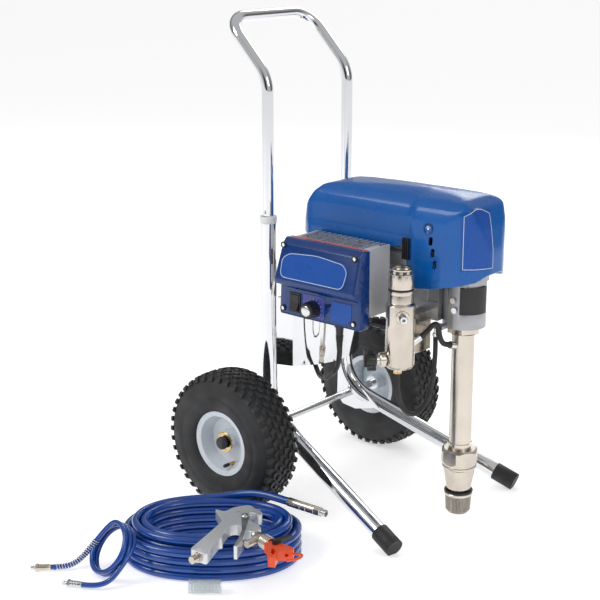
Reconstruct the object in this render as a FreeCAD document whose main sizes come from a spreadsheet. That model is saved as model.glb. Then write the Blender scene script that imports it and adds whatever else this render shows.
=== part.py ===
import FreeCAD
import Part
import Sketcher
import math
import os
import re
import sys

# Airless paint sprayer on a two-wheeled cart, with its hose, whip hose and spray gun.
# Millimetres, +Z up, +X from the axle towards the pump. Every piece is drawn in the cart's own
# frame (axle at X = 0, middle plane at Y = 0, floor at Z = 0), and SHIFT then moves all of them
# so that the origin is under the middle of the machine and its gun.

V = FreeCAD.Vector
X_AXIS = V(1, 0, 0)
Y_AXIS = V(0, 1, 0)
Z_AXIS = V(0, 0, 1)
SIDES = (("right", -1), ("left", 1))

DIMENSIONS = {
    "shift_x": 150.5,
    "shift_y": -154.903,
    "tyre_od": 280.0,
    "tyre_width": 92.0,
    "track_half": 230.7,
    "rim_od": 122.0,
    "axle_dia": 16.0,
    "tube_od": 32.0,
    "tube_wall": 2.0,
    "upright_x": -6.0,
    "upright_y": 118.3,
    "upright_top": 552.0,
    "bend_z": 163.0,
    "bend_radius": 90.0,
    "foot_x": 376.0,
    "foot_y": 201.0,
    "foot_z": 14.8,
    "cap_wall": 2.0,
    "cap_length": 46.0,
    "grip_od": 22.2,
    "grip_wall": 1.6,
    "grip_low": 455.0,
    "grip_bend_z": 829.0,
    "grip_top_x": -110.5,
    "grip_top_z": 937.0,
    "grip_corner": 48.0,
    "collar_high": 14.0,
    "sheet_wall": 2.5,
    "cradle_low": 267.0,
    "cradle_top": 405.0,
    "motor_z": 560.0,
    "motor_radius": 58.0,
    "crank_z": 500.0,
    "throw": 10.0,
    "pump_x": 375.0,
    "cylinder_od": 42.0,
    "cylinder_low": 152.0,
    "cylinder_top": 383.0,
    "piston_radius": 14.95,
    "cylinder_bore": 15.0,
    "rod_radius": 8.0,
    "running_gap": 0.05,
    "shroud_half": 74.0,
    "shell_wall": 3.0,
    "control_x": 80.0,
    "control_wide": 186.0,
    "manifold_x": 318.0,
    "manifold_y": -120.0,
    "manifold_radius": 27.0,
    "knob_x": 163.0,
    "knob_z": 424.0,
    "switch_x": 117.0,
    "switch_z": 428.0,
    "drain_od": 9.0,
    "pressure_od": 10.0,
    "cable_od": 10.0,
    "hose_od": 15.0,
    "whip_od": 9.5,
    "coil_x": 120.0,
    "coil_y": -412.0,
    "coil_a": 168.0,
    "coil_b": 122.0,
    "coil_wide": 56.0,
    "coil_high": 75.0,
    "coil_turn": 41.12,
    "gun_thick": 24.0,
}

doc = FreeCAD.newDocument("airless_paint_sprayer")
sheet = doc.addObject("Spreadsheet::Sheet", "dims")
sheet.Label = "driving dimensions"
for row, (alias, number) in enumerate(DIMENSIONS.items(), start=1):
    sheet.set(f"A{row}", alias)
    sheet.set(f"B{row}", str(number))
    sheet.setAlias(f"B{row}", alias)
doc.recompute()

SHIFT = FreeCAD.Placement(V(-sheet.shift_x, -sheet.shift_y, 0), FreeCAD.Rotation())
nodes = {}


# ---------------------------------------------------------------- helpers

def cell(text):
    """Turn a sum of sheet cells and numbers into a FreeCAD expression."""
    return re.sub(r"[a-z]\w*", lambda found: "dims." + found.group(), str(text))


def amount(text):
    """The present value of the same sum: terms of cells and numbers, with * and /."""
    total = 0.0
    for sign, term in re.findall(r"([+-]?)\s*([\w.]+(?:\s*[*/]\s*[\w.]+)*)", str(text)):
        factors = re.findall(r"([*/]?)\s*([\w.]+)", term)
        product = 1.0
        for operator, factor in factors:
            number = getattr(sheet, factor) if factor[0].isalpha() else float(factor)
            product = product / number if operator == "/" else product * number
        total += -product if sign == "-" else product
    return total


def keep(label, obj):
    """Make obj a sub-part: its label names its file, and SHIFT places it."""
    obj.Label = label
    obj.Placement = SHIFT.multiply(obj.Placement)
    nodes[label] = obj
    return obj


def feature(label, shape):
    """A sub-part whose shape is worked out here from the sheet's values."""
    obj = doc.addObject("Part::Feature", label)
    obj.Shape = shape
    return keep(label, obj)


def facing(direction):
    """The rotation that turns +Z to a direction."""
    return FreeCAD.Rotation(Z_AXIS, direction)


def rod(radius, length, at, along=Z_AXIS):
    """A plain cylinder shape."""
    return Part.makeCylinder(radius, length, V(*at), along)


def block(low, high):
    """A box shape between two corners."""
    return Part.makeBox(high[0] - low[0], high[1] - low[1], high[2] - low[2], V(*low))


def prism(points, direction):
    """A closed outline pushed along a direction."""
    wire = Part.makePolygon([V(*p) for p in points] + [V(*points[0])])
    return Part.Face(wire).extrude(V(*direction))


def hexagon(across, low, high, at):
    """A hexagonal prism about a vertical axis."""
    corner = across / math.sqrt(3)
    turns = [math.radians(60 * i) for i in range(6)]
    outline = [(at[0] + corner * math.cos(a), at[1] + corner * math.sin(a), low) for a in turns]
    return prism(outline, (0, 0, high - low))


def lathe(profile, at=(0, 0, 0), along=Z_AXIS):
    """A profile of (radius, height) points turned about an axis through at."""
    points = [V(r, 0, z) for r, z in profile]
    face = Part.Face(Part.makePolygon(points + points[:1]))
    solid = face.revolve(V(0, 0, 0), Z_AXIS, 360)
    solid.Placement = FreeCAD.Placement(V(*at), facing(along))
    return solid


def joined(shapes):
    """One solid from shapes that overlap."""
    return shapes[0].multiFuse(shapes[1:]).removeSplitter()


def set_of(shapes):
    """A group of separate solids that share a node."""
    return Part.makeCompound(shapes)


def primitive(kind, name, at, along, sizes):
    """A Part primitive whose sizes are bound to the sheet."""
    obj = doc.addObject(kind, name)
    obj.Placement = FreeCAD.Placement(V(*at), facing(along))
    for prop, text in sizes.items():
        obj.setExpression(prop, cell(text))
    return obj


def cylinder(name, radius, height, at, along=Z_AXIS):
    return primitive("Part::Cylinder", name, at, along, {"Radius": radius, "Height": height})


def fused(label, parts):
    result = doc.addObject("Part::MultiFuse", label)
    result.Shapes = parts
    return keep(label, result)


def turned(label, profile, at=(0, 0, 0), along=Z_AXIS):
    """A lathe-turned piece: a bound sketch of (radius, height) revolved in a PartDesign body."""
    body = doc.addObject("PartDesign::Body", label)
    plane = [f for f in body.Origin.OriginFeatures if f.Role == "XZ_Plane"][0]
    sketch = body.newObject("Sketcher::SketchObject", label + "_profile")
    sketch.AttachmentSupport = [(plane, "")]
    sketch.MapMode = "FlatFace"
    points = [V(amount(r), amount(z), 0) for r, z in profile]
    count = len(points)
    for i in range(count):
        sketch.addGeometry(Part.LineSegment(points[i], points[(i + 1) % count]))
    for i in range(count):
        after = (i + 1) % count
        sketch.addConstraint(Sketcher.Constraint("Coincident", i, 2, after, 1))
    for i, texts in enumerate(profile):
        for kind, text in zip(("DistanceX", "DistanceY"), texts):
            added = sketch.addConstraint(Sketcher.Constraint(kind, -1, 1, i, 1, amount(text)))
            if re.search("[a-z]", str(text)):
                sketch.setExpression(f"Constraints[{added}]", cell(text))
    spin = body.newObject("PartDesign::Revolution", label + "_turned")
    spin.Profile = sketch
    spin.ReferenceAxis = (sketch, ["V_Axis"])
    spin.Angle = 360
    body.Placement = FreeCAD.Placement(V(*at), facing(along))
    return keep(label, body)


def bent_path(points, radii):
    """Straight runs with a tangent arc of the given radius at each inner point."""
    points = [V(*p) for p in points]
    edges = []
    start = points[0]
    for i in range(1, len(points) - 1):
        into = (points[i] - points[i - 1]).normalize()
        out = (points[i + 1] - points[i]).normalize()
        turn = into.getAngle(out)
        reach = radii[i - 1] * math.tan(turn / 2)
        first = points[i] - into * reach
        last = points[i] + out * reach
        inward = (out - into).normalize()
        middle = points[i] + inward * (radii[i - 1] / math.cos(turn / 2) - radii[i - 1])
        if (first - start).Length > 1e-6:
            edges.append(Part.LineSegment(start, first).toShape())
        edges.append(Part.Arc(first, middle, last).toShape())
        start = last
    edges.append(Part.LineSegment(start, points[-1]).toShape())
    return Part.Wire(edges)


def swept(path, radius):
    """A round bar along a path."""
    start = path.Edges[0]
    heading = start.tangentAt(start.FirstParameter)
    circle = Part.Wire(Part.Circle(start.Vertexes[0].Point, heading, radius).toShape())
    bar = path.makePipeShell([circle], True, False)
    return bar if bar.Volume > 0 else bar.reversed()


def cord(label, points, diameter):
    """A cord's tube. Each arc is as large as its two runs allow, and the radii are printed."""
    corners = [V(*p) for p in points]
    radii = []
    for i in range(1, len(corners) - 1):
        into = corners[i] - corners[i - 1]
        out = corners[i + 1] - corners[i]
        shorter = min(into.Length, out.Length)
        radii.append(0.45 * shorter / math.tan(into.getAngle(out) / 2))
    path = bent_path(points, radii)
    tube = swept(path, diameter / 2)
    section = math.pi * diameter ** 2 / 4
    ratio = tube.Volume / (section * path.Length)
    tight = [f"{r:.0f}" for r in radii]
    print(f"{label}: length {path.Length:.0f}, arcs {' '.join(tight)}, volume ratio {ratio:.4f}")
    return tube


# ---------------------------------------------------------------- cart

def leg_points(side):
    """Corner points of one cart tube, from the top of its upright to its foot."""
    upright = side * sheet.upright_y
    foot = (sheet.foot_x, side * sheet.foot_y, sheet.foot_z)
    top = (sheet.upright_x, upright, sheet.upright_top)
    return [top, (sheet.upright_x, upright, sheet.bend_z), foot]


def leg_direction(side):
    _, corner, foot = leg_points(side)
    return (V(*foot) - V(*corner)).normalize()


FOOT_FLOOR = 6.0


def tube_solid(side):
    """The outer envelope of one cart tube, ending inside its foot cap."""
    top, corner, foot = leg_points(side)
    end = V(*foot) - leg_direction(side) * FOOT_FLOOR
    return bent_path([top, corner, tuple(end)], [sheet.bend_radius])


def frame_tube(name, side):
    path = tube_solid(side)
    outer = swept(path, sheet.tube_od / 2)
    inner = swept(path, sheet.tube_od / 2 - sheet.tube_wall)
    feature("frame_tube_" + name, outer.cut(inner))


def foot_cap(side):
    """A rubber cap with a closed end and a flat where it rests on the floor."""
    direction = leg_direction(side)
    foot = V(*leg_points(side)[2])
    start = foot - direction * sheet.cap_length
    outer = rod(sheet.tube_od / 2 + sheet.cap_wall, sheet.cap_length, tuple(start), direction)
    hollow = rod(sheet.tube_od / 2, sheet.cap_length - FOOT_FLOOR, tuple(start), direction)
    reach = 2 * sheet.cap_length
    floor = block((foot.x - reach, foot.y - reach, -reach), (foot.x + reach, foot.y + reach, 0))
    return outer.cut(hollow).cut(floor)


BUTTON_RISE = 22.0
BUTTON_RADIUS = 3.5
COLLAR_LIP = 0.3
BUTTON_TIP = 13.4


def handle():
    """The U-shaped grip tube that telescopes in the two uprights."""
    x = sheet.upright_x
    y = sheet.upright_y
    corners = [(x, -y, sheet.grip_low), (x, -y, sheet.grip_bend_z)]
    corners += [(sheet.grip_top_x, -y, sheet.grip_top_z), (sheet.grip_top_x, y, sheet.grip_top_z)]
    corners += [(x, y, sheet.grip_bend_z), (x, y, sheet.grip_low)]
    radii = [70, sheet.grip_corner, sheet.grip_corner, 70]
    path = bent_path(corners, radii)
    outer = swept(path, sheet.grip_od / 2)
    inner = swept(path, sheet.grip_od / 2 - sheet.grip_wall)
    tube = outer.cut(inner)
    button_z = sheet.upright_top + BUTTON_RISE
    for name, side in SIDES:
        hole = rod(BUTTON_RADIUS + 0.3, 20, (x, side * y, button_z), Y_AXIS * side)
        tube = tube.cut(hole)
    feature("handle_tube", tube)
    for name, side in SIDES:
        shank = rod(BUTTON_RADIUS, BUTTON_TIP - 2, (x, side * (y + 2), button_z), Y_AXIS * side)
        plate = block((x - 5.5, -1.5, button_z - 6), (x + 5.5, 1.5, button_z + 6))
        plate.translate(V(0, side * (y + 3.5), 0))
        feature("handle_button_" + name, joined([shank, plate]))


def collars():
    """Plastic sleeves pressed on the uprights that guide the grip tube."""
    parts = []
    for _, side in SIDES:
        at = (sheet.upright_x, side * sheet.upright_y, sheet.upright_top)
        outer = rod(sheet.tube_od / 2 + 0.6, sheet.collar_high, at)
        bore = rod(sheet.grip_od / 2 + COLLAR_LIP, sheet.collar_high, at)
        key = block((at[0] - 4, 0, at[2]), (at[0] + 4, BUTTON_TIP + 0.5, at[2] + sheet.collar_high))
        key.rotate(V(at[0], 0, 0), Z_AXIS, 90 - 90 * side)
        key.translate(V(0, at[1], 0))
        parts.append(outer.cut(bore).cut(key))
    feature("handle_collars", set_of(parts))


def axle_brackets():
    """Welded gusset plates under the bends that carry the axle."""
    y = -sheet.upright_y - 1.5
    outline = [(-22, y, 214), (-24, y, 132), (-8, y, 116), (26, y, 112), (88, y, 128)]
    plate = prism(outline, (0, 3, 0))
    plate = plate.cut(swept(tube_solid(-1), sheet.tube_od / 2))
    axle_hole = rod(sheet.axle_dia / 2, 20, (0, y - 8, sheet.tyre_od / 2), Y_AXIS)
    plate = max(plate.cut(axle_hole).Solids, key=lambda piece: piece.Volume)
    feature("axle_brackets", set_of([plate, plate.mirror(V(0, 0, 0), Y_AXIS)]))


AXLE_HALF = 265.0


def axle():
    """The axle bar and the push-on caps that hold the wheels."""
    centre_z = "tyre_od / 2"
    z = amount(centre_z)
    keep("axle", cylinder("axle", "axle_dia / 2", str(2 * AXLE_HALF), (0, -AXLE_HALF, z), Y_AXIS))
    caps = []
    for _, side in SIDES:
        profile = [(0, 0), (0, 5), (7, 4), (11, 1), (11, -8), (8, -8), (8, 0)]
        caps.append(lathe(profile, (0, side * AXLE_HALF, z), Y_AXIS * side))
    feature("axle_caps", set_of(caps))


def motor_cradle():
    """A bent sheet that bridges the uprights: side flanges, bowed front wall and a shelf."""
    wall = sheet.sheet_wall
    low = sheet.cradle_low
    top = sheet.cradle_top

    def bowed(offset):
        back = V(11, -(116 - offset), low)
        front = V(44, -(104 - offset), low)
        nose = V(88 - offset, 0, low)
        front_left = V(44, 104 - offset, low)
        back_left = V(11, 116 - offset, low)
        edges = [Part.LineSegment(back, front).toShape()]
        edges.append(Part.Arc(front, nose, front_left).toShape())
        edges.append(Part.LineSegment(front_left, back_left).toShape())
        edges.append(Part.LineSegment(back_left, back).toShape())
        return Part.Face(Part.Wire(edges))

    outer = bowed(0).extrude(V(0, 0, top - low))
    inner = bowed(wall).extrude(V(0, 0, top - low))
    inner.translate(V(-0.01, 0, 0))
    wrap = outer.cut(inner)
    shelf = bowed(0).extrude(V(0, 0, wall))
    shelf.translate(V(0, 0, top - low - wall))
    gap = block((0, -130, low), (11.5, 130, top - wall - 0.01))
    cradle = joined([wrap.cut(gap), shelf])
    cradle = cradle.cut(rod(9, 10, (SHELF_GLAND[0], SHELF_GLAND[1], top - 6)))
    for side in (-1, 1):
        tab = block((5, -1.5, top - 60), (20, 1.5, top - 2))
        tab.translate(V(0, side * 110, 0))
        cradle = cradle.fuse(tab)
    tubes = [swept(tube_solid(side), sheet.tube_od / 2) for side in (-1, 1)]
    cradle = cradle.cut(set_of(tubes))
    feature("motor_cradle", cradle.Solids[0])


SHELF_GLAND = (40.0, -40.0)


def wheel(name, side):
    """One pneumatic wheel: tyre, dished steel rim and its two bearings."""
    z = amount("tyre_od / 2")
    half = "tyre_width / 2"
    tyre = [("rim_od / 2 - 4", "0 - 30"), ("rim_od / 2 - 4", "30"), ("rim_od / 2 + 4", "34")]
    tyre += [("rim_od / 2 + 14", "42"), ("rim_od / 2 + 36", half), ("tyre_od / 2 - 22", "tyre_width / 2 - 3")]
    tyre += [("tyre_od / 2 - 6", "30"), ("tyre_od / 2 - 1", "15"), ("tyre_od / 2", "0")]
    tyre += [(r, "0 - " + h if "-" not in h else "0 - tyre_width / 2 + 3") for r, h in tyre[-2:2:-1]]
    tyre += [("rim_od / 2 + 4", "0 - 34")]
    centre = (0, side * sheet.track_half, z)
    turned("tyre_" + name, tyre, centre, Y_AXIS * side)
    hub = 17.0
    seat = sheet.rim_od / 2 - 4
    flange = sheet.rim_od / 2 + 3.7
    well = seat - 12
    skin = 2.2
    outer = [(seat - skin, -31), (seat, -30), (seat, 30), (flange, 34), (flange, 36.5)]
    outer += [(seat - skin, 34), (seat - skin - 3, 24), (well, 10), (hub + 6, 6), (hub, 8), (hub, 24)]
    outer += [(hub - 3, 24), (hub - 3, -24), (hub, -24), (hub, 2), (hub + 6, 2.5), (well + 3, 6)]
    outer += [(seat - skin, 12)]
    rim = lathe(outer, centre, Y_AXIS * side)
    inner_flange = lathe([(seat - skin, -31), (seat, -30), (flange, -34), (flange, -36.5),
                          (seat - skin, -34)], centre, Y_AXIS * side)
    feature("rim_" + name, joined([rim, inner_flange]))
    race = sheet.axle_dia / 2 + sheet.running_gap
    rings = []
    for offset in (-24.0, 14.0):
        ring = [(race, offset), (race, offset + 10), (hub - 3, offset + 10), (hub - 3, offset)]
        rings.append(lathe(ring, centre, Y_AXIS * side))
    feature("wheel_bearings_" + name, set_of(rings))


# ---------------------------------------------------------------- drive

GEAR_X = (256.0, 290.0)


def motor():
    """Motor case with its saddle, the rotor with pinion, the fan and the crank's gear."""
    z = sheet.motor_z
    outer = sheet.motor_radius
    shaft = 6.0
    gap = sheet.running_gap
    case = rod(outer, 158, (74, 0, z), X_AXIS)
    case = case.cut(rod(outer - 6, 146, (80, 0, z), X_AXIS))
    case = case.cut(rod(shaft + gap, 200, (50, 0, z), X_AXIS))
    magnets = []
    for side in (-1, 1):
        arc = rod(outer - 6, 110, (90, 0, z), X_AXIS).cut(rod(outer - 15, 110, (90, 0, z), X_AXIS))
        keep_half = block((90, -30, z - 70), (200, 30, z + 70))
        half = arc.cut(keep_half)
        low_y = -70 if side < 0 else 0
        magnets.append(half.common(block((80, low_y, z - 70), (210, low_y + 70, z + 70))))
    feature("motor_case", set_of([case] + [magnet.Solids[0] for magnet in magnets]))
    winding = rod(36, 120, (85, 0, z), X_AXIS)
    commutator = rod(18, 20, (205, 0, z), X_AXIS)
    spindle = rod(shaft, 238, (50, 0, z), X_AXIS)
    pinion = rod(7.5, 28, (259, 0, z), X_AXIS)
    feature("motor_rotor", joined([winding, commutator, spindle, pinion]))
    hub = rod(14, 12, (54, 0, z), X_AXIS)
    blades = [hub]
    for i in range(9):
        blade = block((56, -1, z + 12), (64, 1, z + 30))
        blade.rotate(V(56, 0, z), X_AXIS, 40 * i)
        blades.append(blade)
    fan = joined(blades).cut(rod(shaft, 20, (50, 0, z), X_AXIS))
    feature("cooling_fan", fan)


def gear_housing():
    """The cast gear case with a foot that stands on the cradle's shelf and carries the motor."""
    z = sheet.crank_z
    top = sheet.motor_z
    gap = sheet.running_gap
    shell = rod(58, 58, (232.3, 0, top), X_AXIS)
    lower = rod(58, 88, (232.3, 0, z), X_AXIS)
    foot = block((14, -42, sheet.cradle_top), (344.5, 42, 440))
    web = block((232.3, -42, 438), (320.3, 42, 500))
    nose = block((318, -40, 438), (344.5, 40, 535))
    body = joined([shell, lower, foot, web, nose])
    for low_x, high_x in ((66, 84), (200, 218)):
        saddle = block((low_x, -40, 438), (high_x, 40, top - 20))
        body = body.fuse(saddle)
    body = body.cut(rod(sheet.motor_radius, 172, (60, 0, top), X_AXIS))
    body = body.cut(rod(53.5, GEAR_X[1] - GEAR_X[0], (GEAR_X[0], 0, z), X_AXIS))
    body = body.cut(rod(11, GEAR_X[1] - GEAR_X[0], (GEAR_X[0], 0, top), X_AXIS))
    body = body.cut(rod(6 + gap, 40, (225, 0, top), X_AXIS))
    body = body.cut(rod(10 + gap, 120, (240, 0, z), X_AXIS))
    body = body.cut(rod(SHELF_PORT, 60, (SHELF_GLAND[0], SHELF_GLAND[1] + 10, 390)))
    feature("gear_housing", body.removeSplitter())


SHELF_PORT = 5.5


def crank():
    """Gear, crankshaft and connecting rod, with the crank pin at the top of its turn."""
    z = sheet.crank_z
    gear = rod(51.8, 20, (264, 0, z), X_AXIS)
    teeth = []
    for i in range(36):
        notch = rod(2.2, 24, (262, 0, z + 52.6), X_AXIS)
        notch.rotate(V(262, 0, z), X_AXIS, 10 * i)
        teeth.append(notch)
    gear = gear.cut(set_of(teeth)).cut(rod(10, 24, (262, 0, z), X_AXIS))
    for i in range(6):
        hole = rod(9, 24, (262, 0, z + 32), X_AXIS)
        hole.rotate(V(262, 0, z), X_AXIS, 60 * i)
        gear = gear.cut(hole)
    feature("crank_gear", gear)
    shaft = rod(10, 101.2, (244, 0, z), X_AXIS)
    disc = rod(24, 5.7, (345, 0, z), X_AXIS)
    pin = rod(7, 20.8, (350, 0, z + sheet.throw), X_AXIS)
    feature("crankshaft", joined([shaft, disc, pin]))
    pin_z = z + sheet.throw
    eye = rod(13, 16, (351.2, 0, pin_z), X_AXIS)
    shank = block((353, -7, 466), (365, 7, pin_z))
    crown = block((353, -9, 458), (387, 9, 468))
    cheeks = [block((363, -9, 424), (368.5, 9, 462)), block((381.5, -9, 424), (387, 9, 462))]
    link = joined([eye, shank, crown] + cheeks)
    feature("connecting_rod", link.cut(rod(7 + sheet.running_gap, 30, (349, 0, pin_z), X_AXIS)))


def bearing_housing():
    """The casting in front of the gear case, open at the front where the rod cover is."""
    x = sheet.pump_x
    barrel = rod(40, 100, (x, 0, 395))
    head = block((345, -38, 477), (402, 38, 535))
    ears = [block((340, -52, 393), (362, -34, 400)), block((366, 34, 393), (386, 54, 400))]
    body = joined([barrel, head] + ears)
    body = body.cut(rod(32, 75, (x, 0, 401)))
    body = body.cut(block((348.5, -32, 466), (398.5, 32, 531)))
    body = body.cut(block((330, -26, 474), (350, 26, 526)))
    body = body.cut(rod(12, 12, (x, 0, 392)))
    window = block((0, -9, 427), (60, 9, 473))
    opening = []
    for step in (-24, -8, 8, 24):
        piece = window.copy()
        piece.rotate(V(0, 0, 0), Z_AXIS, DOOR_MID + step)
        piece.translate(V(x, 0, 0))
        opening.append(piece)
    for piece in opening:
        body = body.cut(piece)
    body = body.cut(block((330, -60, 390), (344.8, 60, 540)))
    feature("bearing_housing", body.Solids[0])


DOOR_MID = -31.0
DOOR_SPAN = 74.0
DOOR_HINGE = 41.9
KNUCKLE_RADIUS = 1.8


def rod_door():
    """The curved cover over the rod's window, hinged at its rear edge."""
    x = sheet.pump_x
    skin = rod(43.5, 50, (x, 0, 425)).cut(rod(40.6, 50, (x, 0, 425)))
    half = math.radians(DOOR_SPAN / 2)
    reach = 80
    middle = math.radians(DOOR_MID)
    first = (x + reach * math.cos(middle - half), reach * math.sin(middle - half), 425)
    last = (x + reach * math.cos(middle + half), reach * math.sin(middle + half), 425)
    wedge = prism([(x, 0, 425), first, last], (0, 0, 50))
    panel = skin.common(wedge)
    edge = middle + half
    pin_at = (x + DOOR_HINGE * math.cos(edge), DOOR_HINGE * math.sin(edge), 425)
    knuckle = rod(KNUCKLE_RADIUS, 50, pin_at)
    feature("rod_door", joined([panel.Solids[0], knuckle]))


def door_screw(turn, z):
    """A captive screw in the barrel beside the cover."""
    angle = math.radians(turn)
    out = V(math.cos(angle), math.sin(angle), 0)
    start = V(sheet.pump_x, 0, z) + out * 36
    shank = rod(3, 6, tuple(start), out)
    head = rod(5.5, 3.5, tuple(start + out * 4.6), out)
    return joined([shank, head])


def pump():
    """Jam nut, cylinder, rod with piston, foot valve and inlet strainer."""
    x = sheet.pump_x
    axis = (x, 0, 0)
    nut = hexagon(58, 383, 395, (x, 0)).cut(rod(12, 20, (x, 0, 380)))
    feature("pump_nut", nut)
    profile = [("cylinder_bore", "cylinder_low"), ("cylinder_od / 2", "cylinder_low")]
    profile += [("cylinder_od / 2", "cylinder_top"), ("rod_radius + running_gap", "cylinder_top")]
    profile += [("rod_radius + running_gap", "350"), ("cylinder_bore", "350")]
    turned("pump_cylinder", profile, axis)
    plunger = rod(sheet.rod_radius, 213.6, (x, 0, 190))
    piston = rod(sheet.piston_radius, 26, (x, 0, 192))
    tongue = block((x - 5, -8, 403.3), (x + 5, 8, 436)).common(rod(9.2, 60, (x, 0, 400)))
    eye = rod(5, 10.8, (x - 5.4, 0, 431), X_AXIS)
    feature("pump_rod", joined([plunger, piston, tongue, eye]))
    valve = [(14, 152), (30, 152), (36, 148), (36, 128), (31, 118), (23, 68), (17, 66), (8, 66)]
    valve += [(8, 100), (14, 106)]
    body = lathe(valve, axis)
    flats = hexagon(66, 118, 153, (x, 0))
    upper = body.common(flats)
    lower = body.common(rod(60, 58, (x, 0, 60)))
    ball = Part.makeSphere(9.5, V(x, 0, 109.0))
    feature("intake_valve", set_of([joined([upper, lower]), ball]))
    cup = [(0, 20), (19, 20), (24, 27), (25.5, 56), (27, 60), (27, 66), (17.5, 66), (17.5, 62)]
    cup += [(23.5, 58), (22, 29), (18, 22.5), (0, 22.5)]
    strainer = lathe(cup, axis)
    feature("inlet_strainer", strainer)


def shroud():
    """The hollow blue cover: three outlines crossed, with the same shape taken out of it."""
    def solid(inset, drop):
        side = [(26 + inset, 530 - drop), (26 + inset, 556), (36 + inset, 568), (40 + inset, 585)]
        side += [(46 + inset, 598), (54 + inset, 613), (70 + inset, 628 - inset)]
        side += [(90, 633 - inset), (130, 638 - inset), (230, 645 - inset)]
        side += [(350, 646 - inset), (398 - inset, 640 - inset), (416 - inset, 622)]
        side += [(441 - inset, 545), (441 - inset, 506 - drop), (425 - inset, 492 - drop)]
        side += [(399 - inset, 484.5 - drop)]
        side += [(345, 473 - drop), (310, 468 - drop), (292, 503 - drop)]
        if not drop:
            side += [(288, 545), (252, 537)]
        face = prism([(px, -90, pz) for px, pz in side], (0, 180, 0))
        half = sheet.shroud_half - inset
        rear = 24 + inset
        plan = [(rear, -half + 36), (rear + 8, -half + 20), (rear + 26, -half + 6), (82, -half), (360, -half)]
        plan += [(404 - inset, -half + 12), (430 - inset, -half + 26), (441 - inset, -20)]
        plan += [(px, -py) for px, py in plan[::-1]]
        top_view = prism([(px, py, 380) for px, py in plan], (0, 0, 300))
        arch = [(-half, 380), (-half, 596), (-half + 8, 612), (-half + 26, 628), (-24, 646 - inset)]
        arch += [(-py, pz) for py, pz in arch[::-1]]
        tunnel = prism([(-20, py, pz) for py, pz in arch], (480, 0, 0))
        return face.common(top_view).common(tunnel)

    outer = solid(0, 0)
    inner = solid(sheet.shell_wall, 60)
    inner = inner.cut(block((-20, -90, 380), (289, 90, 440)))
    shell = outer.cut(inner)
    slots = []
    for i, (px, pz) in enumerate(((334, 583), (340, 560), (345, 540), (350, 520))):
        slots.append(rod(5 if i else 8, 40, (px, -90, pz), Y_AXIS))
    shell = shell.cut(set_of(slots))
    feature("shroud", max(shell.Solids, key=lambda s: s.Volume))


# ---------------------------------------------------------------- control box

BOX_BACK = -76.0
BOX_FRONT = -150.0


def control_box():
    """Finned heat sink, circuit board, front cover, dial, switch and glands."""
    x0 = sheet.control_x
    x1 = x0 + sheet.control_wide
    sink = block((x0 + 2, BOX_FRONT, 415), (x1 - 8, BOX_BACK, 543))
    sink = sink.cut(block((x0 + 10, BOX_FRONT - 1, 423), (x1 - 16, -112, 535)))
    slots = []
    fin_pitch = 13.0
    for i in range(13):
        low = x0 + 9 + i * fin_pitch
        slots.append(block((low, -98, 410), (low + 8, BOX_BACK + 1, 550)))
    sink = sink.cut(set_of(slots))
    feature("heat_sink", sink)
    board = block((x0 + 16, -126, 430), (x1 - 22, -124, 528))
    posts = [rod(3, 12, (px, -124, pz), Y_AXIS) for px in (x0 + 22, x1 - 28) for pz in (438, 520)]
    chips = [block((x0 + 40, -134, 450), (x0 + 70, -126, 500))]
    chips.append(block((x0 + 90, -132, 470), (x0 + 140, -126, 510)))
    feature("circuit_board", joined([board] + posts + chips))
    outer = [(BOX_FRONT, 545), (-166, 547), (-176, 536), (-196, 472), (-195, 463), (-178, 455)]
    outer += [(-180, 403), (-176, 399), (BOX_FRONT, 399)]
    inner = [(BOX_FRONT + 1, 541), (-164, 543), (-172.5, 534), (-192, 472), (-190, 466), (-174, 458)]
    inner += [(-176, 403), (BOX_FRONT + 1, 403)]
    cover = prism([(x0 - 2, y, z) for y, z in outer], (sheet.control_wide + 6, 0, 0))
    hollow = prism([(x0 + 2, y, z) for y, z in inner], (sheet.control_wide - 2, 0, 0))
    cover = cover.cut(hollow)
    cover = cover.cut(rod(4.3, 40, (sheet.knob_x, -200, sheet.knob_z), Y_AXIS))
    half_wide = 10.3
    half_high = 15.3
    switch_hole = block((sheet.switch_x - half_wide, -190, sheet.switch_z - half_high),
                        (sheet.switch_x + half_wide, -160, sheet.switch_z + half_high))
    cover = cover.cut(switch_hole)
    cover = cover.cut(rod(7, 20, (CABLE_START[0], CABLE_START[1], 390)))
    feature("control_cover", cover)
    knob = [("0", "0"), ("16", "0"), ("16", "3"), ("14", "20"), ("12.5", "22"), ("0", "22")]
    turned("knob_blank", knob, (sheet.knob_x, -182, sheet.knob_z), Y_AXIS * -1)
    blank = nodes.pop("knob_blank")
    stem = cylinder("dial_stem", "4", "26", (sheet.knob_x, -183, sheet.knob_z), Y_AXIS)
    blank.Placement = SHIFT.inverse().multiply(blank.Placement)
    fused("pressure_knob", [blank, stem])
    rocker = [(-0.8, -14.6), (-9.5, -14.6), (-3.5, 0), (-2.5, 14.6), (-0.8, 14.6)]
    at_y = -178.5
    face = prism([(sheet.switch_x - 9.6, at_y + v, sheet.switch_z + w) for v, w in rocker], (19.2, 0, 0))
    boss = rod(3.2, 19.2, (sheet.switch_x - 9.6, at_y + 2, sheet.switch_z), X_AXIS)
    feature("rocker_switch", joined([face, boss]))


CABLE_START = (212.0, -164.0)


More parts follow.
